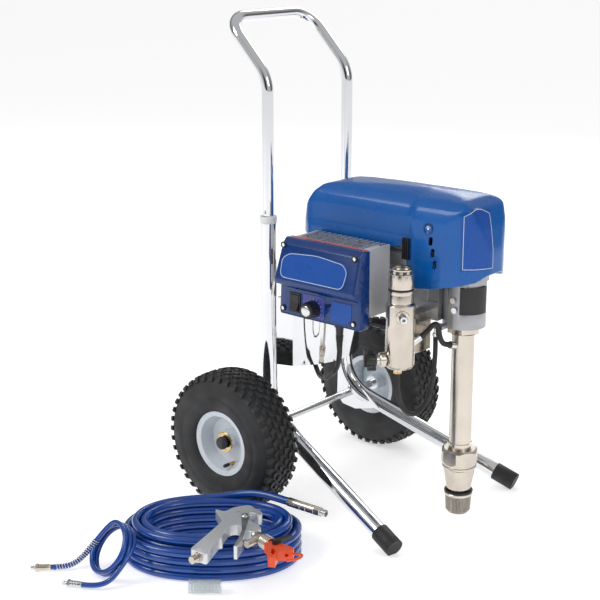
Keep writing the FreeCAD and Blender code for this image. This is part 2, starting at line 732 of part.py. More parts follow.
def glands():
    """Strain relief under the control box, the gland in the shelf and the mains inlet."""
    at = (CABLE_START[0], CABLE_START[1], 399)
    relief = lathe([(0, -22), (6.5, -22), (8, 0), (0, 0)], at)
    flange = rod(10, 3, (at[0], at[1], 396))
    relief = joined([relief, flange, rod(6.8, 10, (at[0], at[1], 397))])
    shelf_at = (SHELF_GLAND[0], SHELF_GLAND[1], sheet.cradle_top - 16)
    shelf = joined([rod(9, 16, shelf_at), rod(13, 4, (shelf_at[0], shelf_at[1], shelf_at[2] + 9.4))])
    inlet_shell = block((78.2, -140, 455), (81.9, -106, 485))
    inlet = block((68, -137, 458), (78.2, -109, 482)).cut(block((60, -134, 461), (76, -112, 479)))
    feature("cable_fittings", set_of([relief, shelf, joined([inlet_shell, inlet])]))


def screws():
    """Cover screws and the bolts that hold the cradle."""
    x0 = sheet.control_x
    x1 = x0 + sheet.control_wide
    parts = []
    for px, pz in ((x1 - 9, 534), (x1 - 9, 412), (x0 + 7, 412), (x0 + 7, 534)):
        front = -177.2 if pz > 500 else -179.4
        shank = rod(2, 12, (px, front - 0.5, pz), Y_AXIS)
        parts.append(joined([shank, rod(4.5, 3, (px, front - 2.6, pz), Y_AXIS)]))
    return parts


# ---------------------------------------------------------------- manifold

def hose_end(before, end, axis, radius):
    """A nipple that carries on from a hose's end to the round body it screws into."""
    heading = (V(*end) - V(*before)).normalize()
    nipple = rod(7, 30, end, heading)
    nipple = nipple.cut(rod(radius, 120, (axis[0], axis[1], end[2] - 60)))
    return min(nipple.Solids, key=lambda piece: (piece.CenterOfMass - V(*end)).Length)


OUTLET_Z = 431.0
OUTLET_WAY = V(1, -1, 0).normalize()


def manifold():
    """Filter manifold with cap, fittings, transducer, prime valve and its knob."""
    x = sheet.manifold_x
    y = sheet.manifold_y
    axis = (x, y, 0)
    body = [("19", "338"), ("19", "470"), ("23", "470"), ("23", "454"), ("manifold_radius", "450")]
    body += [("manifold_radius", "336"), ("manifold_radius - 4", "330"), ("0", "330"), ("0", "338")]
    shape = lathe([(amount(r), amount(z)) for r, z in body], axis)
    arm = block((x - 14, y + 20, 350), (x + 12, -42, 425)).cut(rod(19, 100, (x, y, 340)))
    drain_bore = rod(2.5, 12, (x - 4, y, 329))
    shape = joined([shape, arm])
    shape = shape.cut(rod(19, 112, (x, y, 338)))
    feature("manifold_body", shape.cut(drain_bore))
    cap = [(0, 456), (16, 456), (18.95, 460), (18.95, 470), (23.5, 470), (23.5, 477), (22, 477), (22, 480)]
    cap += [(23.5, 481), (23.5, 508), (21.5, 509), (21.5, 517), (17, 517), (17, 512), (0, 512)]
    feature("filter_cap", lathe(cap, axis))
    tube = [(9, 341), (14, 341), (14, 456), (9, 456)]
    feature("filter_element", lathe(tube, axis))
    port = V(x, y, OUTLET_Z)
    nipple = rod(9, 3.6, tuple(port + OUTLET_WAY * 24.6), OUTLET_WAY)
    nipple = nipple.fuse(rod(6.6, 18, tuple(port + OUTLET_WAY * 26), OUTLET_WAY))
    nipple = nipple.cut(rod(3, 30, tuple(port + OUTLET_WAY * 20), OUTLET_WAY))
    nipple = nipple.cut(rod(sheet.manifold_radius, 60, (x, y, 400)))
    drain = lathe([(2.5, -12), (6.5, -12), (6.5, -8), (8, -8), (8, 0), (2.5, 0)], (x - 4, y, 330))
    sensor = joined([rod(11, 12, (x - 39, y, 404), X_AXIS), rod(8.5, 24, (x - 60, y, 404), X_AXIS)])
    sensor = sensor.cut(rod(sheet.manifold_radius, 60, (x, y, 380)))
    feature("pressure_sensor", sensor.Solids[0])
    side = V(-0.62, -0.785, 0).normalize()
    hub = V(x, y, 346)
    stem = rod(9, 24, tuple(hub + side * 20), side)
    stem = stem.cut(rod(sheet.manifold_radius, 60, (x, y, 320)))
    valve = joined([stem, rod(4, 38, tuple(hub + side * 26), side)])
    valve = valve.cut(rod(sheet.manifold_radius, 60, (x, y, 320)))
    feature("prime_valve", valve.Solids[0])
    knob = rod(13, 18, tuple(hub + side * 46), side)
    wing = block((-3, -20, 0), (3, 20, 16))
    wing.Placement = FreeCAD.Placement(hub + side * 47, facing(side))
    knob = joined([knob, wing]).cut(rod(4.3, 30, tuple(hub + side * 38), side))
    knob = knob.cut(rod(9.3, 3, tuple(hub + side * 43), side))
    feature("prime_knob", knob)
    fittings = [nipple.Solids[0], drain]
    fittings.append(hose_end(PRESSURE_ROUTE[1], PRESSURE_ROUTE[0], (x, y), sheet.manifold_radius))
    pump_axis = (sheet.pump_x, 0)
    fittings.append(hose_end(PRESSURE_ROUTE[-2], PRESSURE_ROUTE[-1], pump_axis, sheet.cylinder_od / 2))
    feature("manifold_fittings", set_of(fittings))


PRESSURE_ROUTE = [(342.6, -93, 385), (348, -80, 393), (353, -69, 405), (357, -61, 407), (359.5, -58.5, 396),
                  (361.5, -56.5, 380), (364.5, -50, 367), (368.2, -33.3, 362)]
DRAIN_ROUTE = [(314, -120, 318), (314, -120, 287), (315, -113, 256), (320, -98, 234), (328, -80, 228),
               (336, -62, 243), (341, -52, 272), (344, -48, 310), (346, -47, 350), (344, -46, 378)]
CABLE_ROUTE = [(212, -164, 377), (212, -163, 350), (203, -155, 322), (182, -140, 296),
               (150, -118, 274), (115, -92, 254), (80, -66, 246), (52, -48, 262), (42, -42, 298),
               (40, -40, 343), (40, -40, 389)]


def held_hoses():
    """Hoses and the motor lead that the machine carries."""
    feature("pressure_hose", cord("pressure_hose", PRESSURE_ROUTE, sheet.pressure_od))
    feature("drain_hose", cord("drain_hose", DRAIN_ROUTE, sheet.drain_od))
    feature("motor_cable", cord("motor_cable", CABLE_ROUTE, sheet.cable_od))


# ---------------------------------------------------------------- hose, whip and gun

def oval(half_long, half_short, z):
    """A closed oval wire in the coil's plane."""
    oval_curve = Part.Ellipse(V(0, 0, z), half_long, half_short).toShape()
    return Part.Wire(oval_curve)


def hose_coil():
    """The outer shape of the laid hose coil: an oval ring."""
    wide = sheet.coil_wide
    outer = Part.Face(oval(sheet.coil_a, sheet.coil_b, 0)).extrude(V(0, 0, sheet.coil_high))
    inner = Part.Face(oval(sheet.coil_a - wide, sheet.coil_b - wide, 0))
    ring = outer.cut(inner.extrude(V(0, 0, sheet.coil_high)))
    middle = V(sheet.coil_x, sheet.coil_y, 0)
    ring.Placement = FreeCAD.Placement(middle, FreeCAD.Rotation(Z_AXIS, sheet.coil_turn))
    feature("hose_coil", ring)


HOSE_OUT = [(58, -341, 66), (88, -318, 76), (122, -301, 84), (160, -292, 84.8), (198, -290, 84.8)]
HOSE_IN = [(7.6, -470.3, 9.2), (41, -500.9, 9.2), (79.8, -502.8, 9.2), (112.6, -479.6, 9.2)]
WHIP_START = [(44, -658, 7.4), (64, -647, 7.4), (79, -630, 12), (85, -612, 26)]
WHIP_END = [(-18, -594, 24), (-24, -617, 9), (-34, -636, 7.4), (-49, -651, 7.4)]
LOOP_CENTRE = (38, -583, 46)
LOOP_RADIUS = 47.0
LOOP_TILT = 53.7
LOOP_TURN = -13.0
LOOP_STEPS = 28
LOOP_ANGLE = 30


def loop_points():
    """Two and a half leaning turns of the whip hose, each a hose's width from the last."""
    tilt = FreeCAD.Rotation(Z_AXIS, LOOP_TURN).multiply(FreeCAD.Rotation(X_AXIS, LOOP_TILT))
    points = []
    for step in range(LOOP_STEPS):
        angle = math.radians(LOOP_ANGLE * (step + 1))
        rise = (step * LOOP_ANGLE / 360 - 1.1) * (sheet.whip_od + 1.2)
        local = V(LOOP_RADIUS * math.cos(angle), LOOP_RADIUS * math.sin(angle), rise)
        points.append(tuple(V(*LOOP_CENTRE) + tilt.multVec(local)))
    return points


def crimped_end(before, end, radius, ferrule, collar, nose):
    """A ferrule, a collar and a threaded nose that carry on from a hose's last run."""
    heading = (V(*end) - V(*before)).normalize()
    at = V(*end)
    sleeve = rod(radius, ferrule, tuple(at), heading)
    ring = rod(radius + 1.2, collar, tuple(at + heading * (ferrule - 1)), heading)
    tip = rod(radius - 2, nose, tuple(at + heading * (ferrule + collar - 2)), heading)
    return joined([sleeve, ring, tip])


def hoses():
    """The coil's two leads, the whip hose, and the steel ends of both."""
    leads = [cord("hose_lead", HOSE_OUT, sheet.hose_od), cord("hose_inner", HOSE_IN, sheet.hose_od)]
    feature("hose_leads", set_of(leads))
    ends = [crimped_end(HOSE_OUT[-2], HOSE_OUT[-1], 8.5, 62, 14, 12)]
    ends.append(crimped_end(HOSE_IN[-2], HOSE_IN[-1], 7.8, 16, 8, 9))
    feature("hose_couplings", set_of(ends))
    route = WHIP_START + loop_points() + WHIP_END
    feature("whip_hose", cord("whip_hose", route, sheet.whip_od))
    first = crimped_end(WHIP_START[1], WHIP_START[0], 6, 22, 6, 10)
    last = crimped_end(WHIP_END[-2], WHIP_END[-1], 6, 22, 6, 10)
    feature("whip_fittings", set_of([first, last]))


GUN_AT = (206.0, -440.0)
GUN_TURN = -12.4
GUN_LOW = 77.0
TRIGGER_PIVOT = (-3.0, 22.0)
TIP_AT = (114.0, 4.0)


def on_gun(shape):
    """Move a shape from the gun's own plane to where the gun lies on the coil."""
    middle = GUN_LOW + sheet.gun_thick / 2 + 3
    lie = FreeCAD.Placement(V(GUN_AT[0], GUN_AT[1], middle), FreeCAD.Rotation(Z_AXIS, GUN_TURN))
    shape.Placement = lie.multiply(shape.Placement)
    return shape


def slab(points, half):
    """A flat outline of the gun's plane with a thickness about it."""
    return prism([(px, py, -half) for px, py in points], (0, 0, 2 * half))


def gun():
    """Spray gun: cast body, trigger, nickel head, tip guard, reversible tip and swivel."""
    half = sheet.gun_thick / 2
    outline = [(-64, -2), (-44, 6), (-50, 28), (-42, 58), (0, 58), (9, 50), (6, 42), (-4, 46), (-14, 40)]
    outline += [(2, 24), (14, 22), (44, 22), (56, 16), (56, -4), (42, -6), (16, -8), (12, -22), (34, -50)]
    outline += [(46, -58), (44, -64), (82, -114), (46, -124), (10, -60), (-14, -20), (-36, -12)]
    body = slab(outline, half - 2)
    body = body.cut(rod(2.55, 60, (TRIGGER_PIVOT[0], TRIGGER_PIVOT[1], -30)))
    body = body.cut(rod(7, 20, (44, 5, 0), X_AXIS))
    feature("gun_body", on_gun(body))
    lever = [(-9, 24), (-3, 29), (5, 26), (46, -10), (66, -28), (90, -58), (86, -62), (60, -33)]
    lever += [(40, -14), (-5, 15)]
    cheeks = slab(lever, half + 0.4).cut(slab([(-30, 50), (62, 50), (58, -34), (-30, -34)], half - 1.6))
    lower = slab([(56, -26), (66, -28), (90, -58), (86, -62), (60, -33)], half + 0.4)
    pin = rod(2.5, 2 * half + 0.8, (TRIGGER_PIVOT[0], TRIGGER_PIVOT[1], -half - 0.4))
    feature("gun_trigger", on_gun(joined([cheeks, lower, pin])))
    head = joined([rod(7, 12, (45, 5, 0), X_AXIS), rod(9.5, 22, (56, 5, 0), X_AXIS),
                   rod(12.5, 24, (77, 5, 0), X_AXIS), rod(6.6, 30, (66, 2, 0), V(0.25, -0.97, 0))])
    head = head.cut(rod(4, 50, (62, 5, 0), X_AXIS))
    out = V(10, -36, 0).normalize()
    collar = rod(9, 4, (64, -119, 0), out)
    inlet = joined([collar, rod(6.6, 16.2, (64, -119, 0), out)])
    feature("gun_head", on_gun(set_of([head, inlet])))
    shield = [(101, -10), (112, -12), (124, -20), (150, -36), (158, -28), (142, -10), (152, 14)]
    shield += [(146, 20), (122, 14), (101, 18)]
    guard = slab(shield, 9)
    guard = guard.cut(slab([(124, -10), (140, -24), (146, -22), (134, -8)], 12))
    guard = guard.cut(rod(5.55, 40, (TIP_AT[0], TIP_AT[1], -20)))
    guard = guard.cut(rod(3, 60, (116, TIP_AT[1], 0), X_AXIS))
    feature("tip_guard", on_gun(guard))
    barrel = rod(5.5, 24, (TIP_AT[0], TIP_AT[1], -11))
    key = slab([(-4, -4), (4, -4), (5, 10), (2, 34), (-3, 34), (-6, 10)], 3)
    key.translate(V(TIP_AT[0], TIP_AT[1], 12.4))
    feature("spray_tip", on_gun(joined([barrel, key])))
    guard_tube = rod(12.8, 56, (196, -548, 13), V(0.7533, 0.6577, 0))
    guard_tube = guard_tube.cut(rod(10, 60, (195, -549, 13), V(0.7533, 0.6577, 0)))
    feature("swivel_guard", guard_tube)


doc.recompute()

for name, side in SIDES:
    frame_tube(name, side)
    wheel(name, side)
handle()
collars()
axle()
axle_brackets()
motor_cradle()
motor()
gear_housing()
crank()
bearing_housing()
rod_door()
pump()
shroud()
control_box()
glands()
feature("foot_caps", set_of([foot_cap(side) for _, side in SIDES]))
cover_screws = [door_screw(*place) for place in ((-82.0, 432.0), (-86.0, 450.0))]
feature("case_screws", set_of(screws() + cover_screws))
manifold()
held_hoses()
hose_coil()
hoses()
gun()

doc.recompute()
faults = []
for obj in doc.Objects:
    if "Invalid" in obj.State or "Error" in obj.State:
        faults.append(f"{obj.Label} is {obj.State}")
for label, obj in nodes.items():
    if obj.Shape.isNull() or not obj.Shape.isValid() or not obj.Shape.Solids:
        faults.append(f"{label} has no valid solid")
if faults:
    sys.exit("\n".join(faults))
os.makedirs("parts", exist_ok=True)
for label, obj in nodes.items():
    obj.Shape.exportStep(f"parts/{label}.step")
print(len(nodes), "parts written")
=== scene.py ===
"""Looks of the airless paint sprayer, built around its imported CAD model."""
import math
import random

import bmesh
import bpy
from mathutils import Matrix, Vector
from mathutils.bvhtree import BVHTree


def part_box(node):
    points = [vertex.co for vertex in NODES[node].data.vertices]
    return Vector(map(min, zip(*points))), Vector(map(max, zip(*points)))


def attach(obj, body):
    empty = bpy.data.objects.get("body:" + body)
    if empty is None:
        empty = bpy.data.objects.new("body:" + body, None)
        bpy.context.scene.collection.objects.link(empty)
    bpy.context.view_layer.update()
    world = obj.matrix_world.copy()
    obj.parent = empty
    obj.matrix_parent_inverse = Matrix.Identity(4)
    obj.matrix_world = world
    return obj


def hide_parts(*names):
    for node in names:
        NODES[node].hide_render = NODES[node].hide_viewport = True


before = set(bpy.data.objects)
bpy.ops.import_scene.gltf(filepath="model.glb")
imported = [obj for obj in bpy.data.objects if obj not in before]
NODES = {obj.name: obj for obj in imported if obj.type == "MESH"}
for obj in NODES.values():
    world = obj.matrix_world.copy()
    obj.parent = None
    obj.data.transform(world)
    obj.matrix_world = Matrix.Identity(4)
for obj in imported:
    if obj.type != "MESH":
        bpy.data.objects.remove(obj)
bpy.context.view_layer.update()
random.seed(11)

LOW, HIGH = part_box("axle")
AXLE = Vector(((LOW.x + HIGH.x) / 2, (LOW.y + HIGH.y) / 2, 0.0))
Z_AXIS = Vector((0, 0, 1))
MM = 0.001


def place(x, y, z):
    """A point of the cart, in millimetres forward of the axle, left of the middle and up."""
    return AXLE + Vector((x, y, z)) * MM


# ------------------------------------------------------------ camera and light

def studio():
    """The camera, a pale floor, soft lamps and a sky with darker bands for chrome to mirror."""
    lens = bpy.data.cameras.new("camera")
    lens.lens = 82.82
    lens.sensor_width = 36.0
    camera = bpy.data.objects.new("camera", lens)
    bpy.context.collection.objects.link(camera)
    camera.location = (1.6058, -1.8892, 1.1368)
    camera.rotation_euler = [math.radians(a) for a in (74.16, 0.0, 41.12)]
    bpy.context.scene.camera = camera
    bpy.context.scene.view_settings.view_transform = "Standard"
    bpy.ops.mesh.primitive_circle_add(vertices=96, radius=40, fill_type="NGON")
    floor = bpy.context.object
    floor.name = "floor"
    floor.location.z = -0.0006
    pale = finish("floor_white", (0.9, 0.9, 0.9), 0.8, shade=0.01)
    glow = pale.node_tree.nodes["Principled BSDF"]
    glow.inputs["Emission Color"].default_value = (1, 1, 1, 1)
    glow.inputs["Emission Strength"].default_value = 0.5
    floor.data.materials.append(pale)
    lamp("key", (-1.6, -2.6, 3.0), 1.8, 52)
    lamp("fill", (3.2, -0.6, 2.2), 1.4, 20)
    lamp("rim", (-1.2, 3.0, 2.6), 1.8, 30)
    sky()


def lamp(name, at, size, power):
    light = bpy.data.lights.new(name, "AREA")
    light.size = size
    light.energy = power
    lamp_object = bpy.data.objects.new(name, light)
    lamp_object.location = at
    aim = Vector((0, 0, 0.4)) - lamp_object.location
    lamp_object.rotation_euler = aim.to_track_quat("-Z", "Y").to_euler()
    bpy.context.collection.objects.link(lamp_object)


def sky():
    world = bpy.data.worlds.new("studio")
    bpy.context.scene.world = world
    world.use_nodes = True
    tree = world.node_tree
    backdrop = tree.nodes["Background"]
    backdrop.inputs["Strength"].default_value = 0.55
    coords = tree.nodes.new("ShaderNodeTexCoord")
    split = tree.nodes.new("ShaderNodeSeparateXYZ")
    tree.links.new(coords.outputs["Generated"], split.inputs[0])
    turn = tree.nodes.new("ShaderNodeMath")
    turn.operation = "ARCTAN2"
    tree.links.new(split.outputs["Y"], turn.inputs[0])
    tree.links.new(split.outputs["X"], turn.inputs[1])
    around = tree.nodes.new("ShaderNodeMapRange")
    around.inputs["From Min"].default_value = -math.pi
    around.inputs["From Max"].default_value = math.pi
    tree.links.new(turn.outputs[0], around.inputs["Value"])
    bands = tree.nodes.new("ShaderNodeValToRGB")
    ramp = bands.color_ramp
    ramp.elements[0].position = 0.0
    ramp.elements[1].position = 1.0
    greys = [(0.10, 0.30), (0.16, 1.0), (0.24, 1.0), (0.27, 0.06), (0.34, 0.05), (0.38, 0.95)]
    greys += [(0.52, 1.0), (0.58, 0.28), (0.66, 0.22), (0.72, 1.0), (0.86, 0.95), (0.9, 0.12)]
    for position, grey in greys:
        element = ramp.elements.new(position)
        element.color = (grey, grey, grey, 1)
    ramp.elements[0].color = (0.5, 0.5, 0.5, 1)
    ramp.elements[len(ramp.elements) - 1].color = (0.5, 0.5, 0.5, 1)
    tree.links.new(around.outputs[0], bands.inputs[0])
    height = tree.nodes.new("ShaderNodeMapRange")
    height.inputs["From Min"].default_value = 0.25
    height.inputs["From Max"].default_value = 0.75
    tree.links.new(split.outputs["Z"], height.inputs["Value"])
    mix = tree.nodes.new("ShaderNodeMix")
    mix.data_type = "RGBA"
    tree.links.new(height.outputs[0], mix.inputs["Factor"])
    tree.links.new(bands.outputs[0], mix.inputs["A"])
    mix.inputs["B"].default_value = (1, 1, 1, 1)
    tree.links.new(mix.outputs["Result"], backdrop.inputs["Color"])


# ------------------------------------------------------------ materials

def noise(tree, coords, scale, detail=3.0):
    node = tree.nodes.new("ShaderNodeTexNoise")
    node.inputs["Scale"].default_value = scale
    node.inputs["Detail"].default_value = detail
    tree.links.new(coords, node.inputs["Vector"])
    return node.outputs[0]


def spread(tree, value, low, high):
    """Map a noise value, which stays near its middle, to a range."""
    node = tree.nodes.new("ShaderNodeMapRange")
    node.inputs["From Min"].default_value = 0.3
    node.inputs["From Max"].default_value = 0.7
    node.inputs["To Min"].default_value = low
    node.inputs["To Max"].default_value = high
    tree.links.new(value, node.inputs["Value"])
    return node.outputs[0]


def finish(name, colour, rough, metal=0.0, shade=0.1, patch=14.0, grain=900.0, relief=0.05,
           coat=0.0, stretch=(1, 1, 1), wear=0.0, clear=0.0):
    """A finish whose colour, gloss and relief vary: broad patches, fine grain and worn edges."""
    material = bpy.data.materials.new(name)
    material.use_nodes = True
    tree = material.node_tree
    shader = tree.nodes["Principled BSDF"]
    shader.inputs["Metallic"].default_value = metal
    shader.inputs["Coat Weight"].default_value = coat
    shader.inputs["Coat Roughness"].default_value = 0.06
    shader.inputs["Transmission Weight"].default_value = clear
    coords = tree.nodes.new("ShaderNodeTexCoord").outputs["Object"]
    mapping = tree.nodes.new("ShaderNodeMapping")
    mapping.inputs["Scale"].default_value = stretch
    tree.links.new(coords, mapping.inputs["Vector"])
    broad = noise(tree, coords, patch)
    tint = tree.nodes.new("ShaderNodeMix")
    tint.data_type = "RGBA"
    tint.inputs["A"].default_value = [c * (1 - shade) for c in colour] + [1]
    tint.inputs["B"].default_value = [min(1.0, c * (1 + shade)) for c in colour] + [1]
    tree.links.new(spread(tree, broad, 0, 1), tint.inputs["Factor"])
    result = tint.outputs["Result"]
    if wear:
        edges = tree.nodes.new("ShaderNodeNewGeometry").outputs["Pointiness"]
        ridge = tree.nodes.new("ShaderNodeMapRange")
        ridge.inputs["From Min"].default_value = 0.53
        ridge.inputs["From Max"].default_value = 0.62
        ridge.inputs["To Max"].default_value = wear
        tree.links.new(edges, ridge.inputs["Value"])
        rubbed = tree.nodes.new("ShaderNodeMix")
        rubbed.data_type = "RGBA"
        tree.links.new(ridge.outputs[0], rubbed.inputs["Factor"])
        tree.links.new(result, rubbed.inputs["A"])
        rubbed.inputs["B"].default_value = [min(1.0, c * 1.6 + 0.05) for c in colour] + [1]
        result = rubbed.outputs["Result"]
    tree.links.new(result, shader.inputs["Base Color"])
    fine = noise(tree, mapping.outputs[0], grain, 4.0)
    tree.links.new(spread(tree, noise(tree, coords, patch * 3), rough * 0.8, rough * 1.25),
                   shader.inputs["Roughness"])
    bump = tree.nodes.new("ShaderNodeBump")
    bump.inputs["Strength"].default_value = relief
    bump.inputs["Distance"].default_value = 0.001
    tree.links.new(fine, bump.inputs["Height"])
    tree.links.new(bump.outputs[0], shader.inputs["Normal"])
    return material


M = {}
BLUE_SPECULAR = 0.28


def speckle():
    """Dense small print seen from afar: pale flecks on a dark ground, with no lettering in it."""
    material = finish("speckle", (0.05, 0.05, 0.055), 0.4, shade=0.1)
    tree = material.node_tree
    shader = tree.nodes["Principled BSDF"]
    coords = tree.nodes.new("ShaderNodeTexCoord").outputs["Object"]
    flecks = tree.nodes.new("ShaderNodeMapRange")
    flecks.inputs["From Min"].default_value = 0.52
    flecks.inputs["From Max"].default_value = 0.56
    tree.links.new(noise(tree, coords, 900, 2.0), flecks.inputs["Value"])
    mix = tree.nodes.new("ShaderNodeMix")
    mix.data_type = "RGBA"
    mix.inputs["A"].default_value = (0.035, 0.035, 0.04, 1)
    mix.inputs["B"].default_value = (0.42, 0.42, 0.42, 1)
    tree.links.new(flecks.outputs[0], mix.inputs["Factor"])
    tree.links.new(mix.outputs["Result"], shader.inputs["Base Color"])
    return material


def make_finishes():
    """Every finish on the object, by the name of its slot or by a name of its own."""
    M["chrome_tube"] = finish("chrome_tube", (0.74, 0.75, 0.77), 0.055, 1, 0.02, relief=0.006)
    M["bright_steel"] = finish("bright_steel", (0.66, 0.67, 0.68), 0.2, 1, 0.06, relief=0.03)
    M["nickel"] = finish("nickel", (0.60, 0.545, 0.475), 0.2, 1, 0.1, patch=22, relief=0.05, wear=0.25)
    M["turned_nickel"] = finish("turned_nickel", (0.63, 0.575, 0.505), 0.23, 1, 0.07,
                                grain=160, relief=0.08, stretch=(0.2, 0.2, 14))
    M["brass"] = finish("brass", (0.62, 0.42, 0.17), 0.25, 1, 0.1)
    M["black_rubber"] = finish("black_rubber", (0.014, 0.014, 0.015), 0.55, shade=0.2, relief=0.25)
    M["tyre"] = finish("tyre", (0.020, 0.0205, 0.022), 0.62, shade=0.3, patch=9, grain=420, relief=0.4,
                       wear=0.12)
    M["white_paint"] = finish("white_paint", (0.70, 0.75, 0.80), 0.28, shade=0.03, grain=500,
                              relief=0.04, coat=0.4)
    M["white_plastic"] = finish("white_plastic", (0.76, 0.77, 0.77), 0.38, shade=0.03, relief=0.06)
    M["black_plastic"] = finish("black_plastic", (0.013, 0.013, 0.014), 0.36, shade=0.15, relief=0.16)
    M["grey_casting"] = finish("grey_casting", (0.40, 0.41, 0.43), 0.38, 0.75, 0.12, grain=330,
                               relief=0.3, wear=0.3)
    M["dark_casting"] = finish("dark_casting", (0.055, 0.056, 0.06), 0.45, 0.5, 0.15, grain=330,
                               relief=0.3, wear=0.2)
    M["board_green"] = finish("board_green", (0.02, 0.12, 0.05), 0.4, shade=0.1)
    M["blue_plastic"] = finish("blue_plastic", (0.0, 0.098, 0.385), 0.3, shade=0.04, grain=650,
                               relief=0.035, coat=0.35)
    M["navy_plastic"] = finish("navy_plastic", (0.0, 0.032, 0.17), 0.27, shade=0.06, grain=650,
                               relief=0.03, coat=0.5)
    M["label_blue"] = finish("label_blue", (0.012, 0.082, 0.37), 0.3, shade=0.03, relief=0.02)
    M["label_pale"] = finish("label_pale", (0.62, 0.70, 0.80), 0.35, shade=0.04, relief=0.02)
    M["label_violet"] = finish("label_violet", (0.055, 0.075, 0.36), 0.3, shade=0.04, relief=0.02)
    M["blue_hose"] = finish("blue_hose", (0.0, 0.055, 0.31), 0.2, shade=0.1, patch=30, grain=500,
                            relief=0.06, coat=0.5)
    M["gun_alloy"] = finish("gun_alloy", (0.66, 0.68, 0.70), 0.34, 0.65, 0.07, grain=420, relief=0.22,
                            wear=0.3)
    M["orange_plastic"] = finish("orange_plastic", (0.80, 0.085, 0.018), 0.33, shade=0.06, relief=0.1)
    M["clear_plastic"] = finish("clear_plastic", (0.88, 0.93, 0.94), 0.12, shade=0.03, relief=0.05,
                                clear=0.75)
    M["sky_plastic"] = finish("sky_plastic", (0.05, 0.32, 0.62), 0.3, shade=0.05)
    M["sink_grey"] = finish("sink_grey", (0.62, 0.63, 0.64), 0.42, 0.3, 0.05, grain=500, relief=0.15)
    M["speckle"] = speckle()
    for blue in ("blue_plastic", "navy_plastic", "label_blue"):
        shader = M[blue].node_tree.nodes["Principled BSDF"]
        shader.inputs["Specular IOR Level"].default_value = BLUE_SPECULAR
    M["plate_grey"] = finish("plate_grey", (0.42, 0.43, 0.42), 0.3, 0.6, 0.1, patch=60, grain=240,
                             relief=0.1)


def wear_slots():
    """Give each CAD node the finish of its slot, or a closer one of its own."""
    own = {"heat_sink": "sink_grey", "filter_cap": "turned_nickel", "pump_cylinder": "turned_nickel",
           "rod_door": "black_plastic"}
    for name, node in NODES.items():
        slot = own.get(name) or SLOT_OF.get(name)
        if slot is None:
            continue
        if not node.material_slots:
            node.data.materials.append(M[slot])
        for place_of in node.material_slots:
            place_of.material = M[slot]


SLOT_NODES = {
    "chrome_tube": "frame_tube_right frame_tube_left handle_tube motor_cradle axle_brackets",
    "bright_steel": "axle handle_button_right handle_button_left wheel_bearings_right "
                    "wheel_bearings_left case_screws pump_rod crankshaft manifold_fittings "
                    "gun_trigger motor_rotor",
    "nickel": "pump_nut intake_valve manifold_body gun_head hose_couplings whip_fittings",
    "grey_casting": "bearing_housing gear_housing heat_sink connecting_rod",
    "dark_casting": "crank_gear motor_case",
    "black_rubber": "foot_caps drain_hose pressure_hose motor_cable",
    "black_plastic": "cable_fittings pressure_knob rocker_switch prime_knob pressure_sensor "
                     "cooling_fan axle_caps",
    "white_plastic": "handle_collars",
    "white_paint": "rim_right rim_left",
    "board_green": "circuit_board",
    "navy_plastic": "control_cover",
    "gun_alloy": "gun_body",
    "orange_plastic": "tip_guard",
    "clear_plastic": "swivel_guard",
    "turned_nickel": "prime_valve filter_element inlet_strainer",
    "blue_plastic": "shroud",
    "tyre": "tyre_right tyre_left",
    "blue_hose": "hose_coil hose_leads whip_hose",
}
SLOT_OF = {node: slot for slot, names in SLOT_NODES.items() for node in names.split()}
SLOT_OF["spray_tip"] = "black_plastic"


# ------------------------------------------------------------ makers of pieces

def piece(name, mesh, material, body, smooth=True):
    """A mesh becomes a piece that rides on a body and takes its finish from a slot."""
    obj = bpy.data.objects.new(name, mesh)
    bpy.context.collection.objects.link(obj)
    mesh.materials.append(M[material])
    if smooth:
        for polygon in mesh.polygons:
            polygon.use_smooth = True
    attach(obj, body)
    return obj


def mesh_from(name, points, faces):
    mesh = bpy.data.meshes.new(name)
    mesh.from_pydata([tuple(p) for p in points], [], faces)
    work = bmesh.new()
    work.from_mesh(mesh)
    bmesh.ops.recalc_face_normals(work, faces=work.faces)
    work.to_mesh(mesh)
    work.free()
    return mesh


def applied(obj):
    """The piece's mesh with its modifiers in it."""
    bpy.context.view_layer.update()
    graph = bpy.context.evaluated_depsgraph_get()
    mesh = bpy.data.meshes.new_from_object(obj.evaluated_get(graph), depsgraph=graph)
    obj.modifiers.clear()
    obj.data = mesh
    return obj


def rounded(obj, width, segments=3, angle=30.0):
    """Small rounds on the hard edges of a piece or a CAD node."""
    weld = obj.modifiers.new("weld", "WELD")
    weld.merge_threshold = 0.00001
    bevel = obj.modifiers.new("rounds", "BEVEL")
    bevel.width = width * MM
    bevel.segments = segments
    bevel.limit_method = "ANGLE"
    bevel.angle_limit = math.radians(angle)
    bevel.harden_normals = True
    return obj


def turned(name, profile, at, along, material, body, steps=48, close=False):
    """A profile of (radius, height) points in millimetres turned about an axis."""
    spin = Z_AXIS.rotation_difference(Vector(along).normalized()).to_matrix()
    points = []
    faces = []
    count = len(profile)
    for i in range(steps):
        angle = 2 * math.pi * i / steps
        for radius, height in profile:
            local = Vector((radius * math.cos(angle), radius * math.sin(angle), height)) * MM
            points.append(at + spin @ local)
    for i in range(steps):
        after = (i + 1) % steps
        for j in range(count if close else count - 1):
            k = (j + 1) % count
            faces.append((i * count + j, after * count + j, after * count + k, i * count + k))
    obj = piece(name, mesh_from(name, points, faces), material, body)
    weld = obj.modifiers.new("weld", "WELD")
    weld.merge_threshold = 0.00001
    split = obj.modifiers.new("edges", "EDGE_SPLIT")
    split.split_angle = math.radians(38)
    return obj


